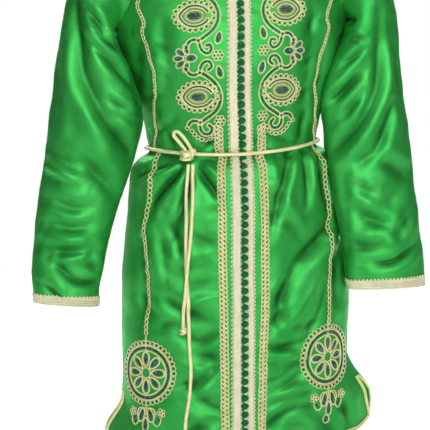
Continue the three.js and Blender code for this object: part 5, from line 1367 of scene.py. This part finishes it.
# Chains as pitch, half width, half height, tilt, cord radius and bead radius
SKIRT_CHAIN = (8.6, 3.3, 4.3, -12, 1.1, 1.3)
BODICE_CHAIN = {1: (6.4, 1.9, 3.9, -24, 1.0, 1.0), -1: (6.4, 2.2, 3.9, -24, 1.0, 1.0)}
WIDE_CHAIN = (7.4, 2.4, 4.3, -34, 1.35, 1.2)
CHAIN_BREAK = (-418, -412)  # where the belt covers the side chain
BODICE_CHAIN_TOP_Z = -152
DOUBLE_CHAIN_LINES = ((3.25, 0.0), (3.75, 0.5))
for side, name in SIDES.items():
    work = Stitches(side)
    chest(work)
    work.gold.piece(f"chest_cord_{name}", looks["gold"], "gold_cord", [f"chest_embroidery_{name}"])
    work.glass.piece(f"chest_beads_{name}", looks["beads"], "gold_cord")
    work.silk.piece(f"chest_stitch_{name}", looks["stitch"], "gold_cord")
    work = Stitches(side)
    wheel(work)
    work.gold.piece(f"wheel_cord_{name}", looks["gold"], "gold_cord", [f"rosette_{name}"])
    work.glass.piece(f"wheel_beads_{name}", looks["beads"], "gold_cord")
    below, above = (CHAIN_END_Z, CHAIN_BREAK[0]), (CHAIN_BREAK[1], BODICE_CHAIN_TOP_Z)
    chains = {
        "side": [(LINES["chain"], below, SKIRT_CHAIN, 0.0), (LINES["chain"], above, BODICE_CHAIN[side], 0.0)],
        "double": [(q, (HEM_Z + 12, DOUBLE_CHAIN_TOP_Z), WIDE_CHAIN, shift) for q, shift in DOUBLE_CHAIN_LINES],
    }
    for kind, rows in chains.items():
        gold, glass = Pile(), Pile()
        for q, heights, loops, shift in rows:
            chain(gold, glass, side, q, *heights, *loops, shift)
        gold.piece(f"{kind}_chain_cord_{name}", looks["gold"], "gold_cord", [f"{kind}_chain_{name}"])
        glass.piece(f"{kind}_chain_beads_{name}", looks["beads"], "gold_cord")

# Placket braids as their lines and ridges, then rows of picots as line, start above the hem, pitch, hand, length,
# width, shift and height above the cloth
PLACKET_TOP_Z = -100
PLACKETS = {
    1: ((1.0, 2.0), 2, [
        (1.04, 6, KNOT_PITCH, -1, 7.0, 2.6, 0.5, 4.2), (1.0, 6, KNOT_PITCH / 3, -1, 2.6, 2.0, 0, 2.6),
        (2.0, 1, 6.4, 1, 2.0, 2.0, 0, 1.6),
    ]),
    -1: ((0.02, 0.98), 3, [(1.0, 1, 7.4, -1, 2.3, 2.2, 0, 1.6), (0.06, 1, 7.4, 1, 1.7, 2.2, 0.5, 1.6)]),
}
for side, name in SIDES.items():
    lines, ridges, rows = PLACKETS[side]
    pile = Pile()
    braid(pile, cloth[side], *lines, HEM_Z + 1, PLACKET_TOP_Z, 4.6, 2.9, ridges)
    for q, start, *loops in rows:
        picots(pile, cloth[side], q, HEM_Z + start, PLACKET_TOP_Z, *loops)
    pile.piece(f"placket_trim_{name}", looks["braid"], "gold_braid", [f"placket_braid_{name}"])

pile, strip = Pile(), Pile()
silk_knots(pile, strip)
pile.piece("silk_knots", looks["silk"], "knot_silk", ["knot_buttons"])
strip.piece("knot_strip", looks["satin"], "knot_silk")


def edge_braid(pile, sheet, turned, width, cords=2, radius=1.7, ring=False):
    """Cords side by side along a cloth's edge: turned() gives its grid with that edge as the first row."""
    grid, normals = turned(sheet["grid"]), turned(sheet["normals"])
    reach = np.concatenate([[0], np.cumsum(np.linalg.norm(np.diff(grid, axis=0), axis=-1).mean(1))])
    for k in range(cords):
        at = width * (k + 0.5) / cords
        i = int(np.clip(np.searchsorted(reach, at) - 1, 0, len(reach) - 2))
        t = (at - reach[i]) / (reach[i + 1] - reach[i])
        line = lerp(grid[i], grid[i + 1], t) + lerp(normals[i], normals[i + 1], t) * radius * 0.7
        tube(pile, resample(line, 1.6, ring), radius, 8, ring, 2, 0.22, 7.0)


def edges_and_neck(name, sheet, hem, slits, neck):
    """The cord round a panel's hem and slits, and the braid along its part of the neckline."""
    slit = int(np.searchsorted(ROW_Z, SLIT_TOP_Z))
    pile = Pile()
    edge_braid(pile, sheet, lambda grid: grid[:, hem:], TRIM_WIDTH)
    for flip in slits:
        edge_braid(pile, sheet, lambda grid: grid[:slit, ::flip].swapaxes(0, 1), TRIM_WIDTH)
    pile.piece(f"hem_cord_{name}", looks["gold"], "gold_cord", [f"hem_trim_{name}"])
    pile = Pile()
    edge_braid(pile, sheet, lambda grid: grid[::-1][:, neck], NECK_BRAID_WIDTH, radius=2)
    pile.piece(f"neck_cord_{name}", looks["braid"], "gold_braid", [f"neck_braid_{name}"])


TOOTH = {"pitch": 6.4, "half": 2.6, "height": 7.4, "thread": 1.2, "stand": 0.9}


def cuff_teeth(pile, sleeve_cloth):
    """Pointed loops of cord along the upper edge of a cuff's braid."""
    grid, normals = sleeve_cloth["grid"][::-1], sleeve_cloth["normals"][::-1]
    row = int(round(CUFF_BRAID_WIDTH / SLEEVE_ROW))
    line = resample(grid[row] + normals[row] * TOOTH["stand"], TOOTH["pitch"], True)
    toward = unit(grid[row + 2] - grid[row])
    for k, point in enumerate(line):
        j = int(k * (len(grid[0]) / len(line))) % len(grid[0])
        across = toward[j]
        along = unit(np.cross(across, normals[row, j]))
        half = along * TOOTH["half"]
        tube(pile, spline([point - half, point + across * TOOTH["height"], point + half], 1.2), TOOTH["thread"], 5)


NECK_BRAID_WIDTH = 8
for side, name in SIDES.items():
    q = cloth[side]["q"]
    edges_and_neck(name, cloth[side], int(np.searchsorted(q, 2.0 if side > 0 else 1.0)), (-1,), q <= 6)
    pile = Pile()
    edge_braid(pile, sleeves[side], lambda grid: grid[::-1], CUFF_BRAID_WIDTH, 5, 1.65, True)
    cuff_teeth(pile, sleeves[side])
    pile.piece(f"cuff_cord_{name}", looks["braid"], "gold_braid", [f"cuff_braid_{name}"])
edges_and_neck("back", cloth_back, 0, (1, -1), np.abs(cloth_back["q"]) <= 3)

# Belt
AXES = np.eye(3)[:, None]
CORD_TWIST = (6, 0.14, 26)  # strands, their relief and the length of one turn
WRAPS = [
    [(-9.5, 3, -5), (-5, -6.5, -6), (4, -7, -6), (9.5, 2, -5)],
    [(3, 2, 4), (6, -6, 9), (12, -4, 8), (13, 2, 1)],
    [(-9, 0, 7), (-5, -7.5, 4), (3, -8, 0), (8, -3, -4)],
    [(-8, 2, 0), (-4, -7.6, -1), (4, -7.4, 3), (8, 1, 5)],
]
pile = Pile()
tube(pile, spline(belt_line(), 1.7), CORD_RADIUS, 16, False, *CORD_TWIST)
tube(pile, over_cloth(BOW, 1.7), CORD_RADIUS * 0.95, 16, False, *CORD_TWIST)
hit, facing = on_cloth(KNOT["x"], KNOT["z"])
centre = hit + facing * (KNOT["out"] + 0.4)
radius = KNOT["radius"]
beads(pile, centre[None], AXES[0], AXES[2], AXES[1], radius, radius, radius * 0.8, 16, 10)
for wrap in WRAPS:
    tube(pile, spline(np.array(wrap, float) + centre, 1.4), 2.9, 12, False, *CORD_TWIST)
pile.piece("belt_cord", looks["belt"], "gold_cord", ["belt"])


def end_knot(tip):
    """A knot round a point: a core with three slanted turns of cord."""
    pile = Pile()
    height, across = END_KNOT["height"], END_KNOT["radius"]
    beads(pile, tip[None], *AXES, across * 0.8, across * 0.7, height, 14, 9)
    turn = full_turn(26)[:, None]
    for level, slope in ((-3.6, 0.25), (-0.6, -0.3), (2.4, 0.3)):
        ring = across * 0.72 * (np.cos(turn) * np.array([1.0, 0, slope]) + np.sin(turn) * np.array([0, 0.9, 0]))
        tube(pile, tip + ring + np.array([0, 0, level]), 1.7, 8, True)
    return pile


for end, route in ENDS.items():
    line = over_cloth(route, 1.9)
    pile = Pile()
    tube(pile, line, CORD_RADIUS, 14, False, *CORD_TWIST)
    cord = pile.piece(f"belt_hanging_{end}", looks["belt"], "gold_cord", [f"belt_end_{end}"])
    knot = end_knot(line[-1] - np.array([0, 0, END_KNOT["height"] * 0.9]))
    knot = knot.piece(f"belt_knot_{end}", looks["belt"], "gold_cord", [f"belt_tip_{end}"])
    real = lifted(line)

# Camera, floor and light
azimuth, elevation = VIEW["azimuth"] * DEG, VIEW["elevation"] * DEG
back = Vector((math.sin(azimuth) * math.cos(elevation), -math.cos(azimuth) * math.cos(elevation), math.sin(elevation)))
target = Vector(VIEW["target"]) * MM
camera = bpy.data.objects.new("camera", bpy.data.cameras.new("camera"))
bpy.context.scene.collection.objects.link(camera)
camera.location = target + back * VIEW["distance"] * MM
camera.rotation_mode = "QUATERNION"
camera.rotation_quaternion = (-back).to_track_quat("-Z", "Y")
camera.data.lens = camera.data.sensor_width * VIEW["focal"] / VIEW["size"]
bpy.context.scene.camera = camera

FLOOR_Z, FLOOR_RADII, FLOOR_PARTS = -1.02, (0.0004, 0.8, 1.6, 2.4, 3.2), 64
MIDDLE = (0, 0, -0.5)
LAMPS = [
    # name, place, aim, size, power, beam in degrees
    ("key", (0.1, -2.6, 0.5), MIDDLE, 1.9, 57, 180),
    ("fill_left", (-2.0, -1.9, 0.3), MIDDLE, 0.9, 2, 180),
    ("fill_right", (2.0, -1.9, 0.3), MIDDLE, 0.9, 3, 180),
    ("top", (0.2, 0.5, 2.4), (0.2, 0.9, -1), 1.8, 34, 140),
    ("rear", (0.6, 2.4, 1.6), MIDDLE, 1.8, 6, 180),
    ("ground_left", (-0.9, 1.7, 1.2), (-0.7, 1.8, FLOOR_Z), 1.2, 55, 120),
    ("ground_right", (1.5, 1.7, 1.2), (1.3, 1.8, FLOOR_Z), 1.2, 55, 120),
]
# The surround: a bright field in one direction, whole inside the inner angle and gone at the outer one
BRIGHT_FIELD = {"toward": (0.139, 0.986, -0.087), "inner": 15, "outer": 24, "surround": 0.14}


def add_floor():
    look, nodes, shader = new_look("studio_paper")
    grain = add_node(nodes, "TexNoise", {"Vector": object_points(nodes, 1, 1, 1), "Scale": 0.004, "Detail": 3}, "Fac")
    tones = [(0.3, (0.92, 0.92, 0.92)), (0.7, (0.95, 0.95, 0.95))]
    fill(shader, {"Base Color": ramp(nodes, grain, tones), "Roughness": 0.9})
    mesh = bpy.data.meshes.new("floor")
    points = [(r * math.cos(t), r * math.sin(t), FLOOR_Z) for r in FLOOR_RADII for t in full_turn(FLOOR_PARTS)]
    mesh.from_pydata(points, [], grid_faces(len(FLOOR_RADII), FLOOR_PARTS, True).tolist())
    mesh.materials.append(look)
    floor = bpy.data.objects.new("floor", mesh)
    bpy.context.scene.collection.objects.link(floor)
    for polygon in mesh.polygons:
        polygon.use_smooth = True


add_floor()
for name, place, aim, size, power, beam in LAMPS:
    lamp = bpy.data.lights.new(name, "AREA")
    lamp.shape, lamp.size, lamp.energy, lamp.spread = "DISK", size, power, beam * DEG
    obj = bpy.data.objects.new(name, lamp)
    obj.location = place
    obj.rotation_mode = "QUATERNION"
    obj.rotation_quaternion = (Vector(aim) - Vector(place)).to_track_quat("-Z", "Y")
    bpy.context.scene.collection.objects.link(obj)
world = bpy.data.worlds.new("studio")
world.use_nodes = True
nodes = world.node_tree.nodes
direction = add_node(nodes, "TexCoord", output="Generated")
toward = {0: direction, 1: BRIGHT_FIELD["toward"]}
toward = add_node(nodes, "VectorMath", toward, "Value", operation="DOT_PRODUCT")
edges = [math.cos(BRIGHT_FIELD[key] * DEG) for key in ("outer", "inner")]
fill(nodes["Background"], {
    "Strength": spread(nodes, toward, BRIGHT_FIELD["surround"], 1.0, *edges), "Color": (1, 1, 1, 1),
})
bpy.context.scene.world = world
bpy.context.scene.view_settings.view_transform = "Standard"
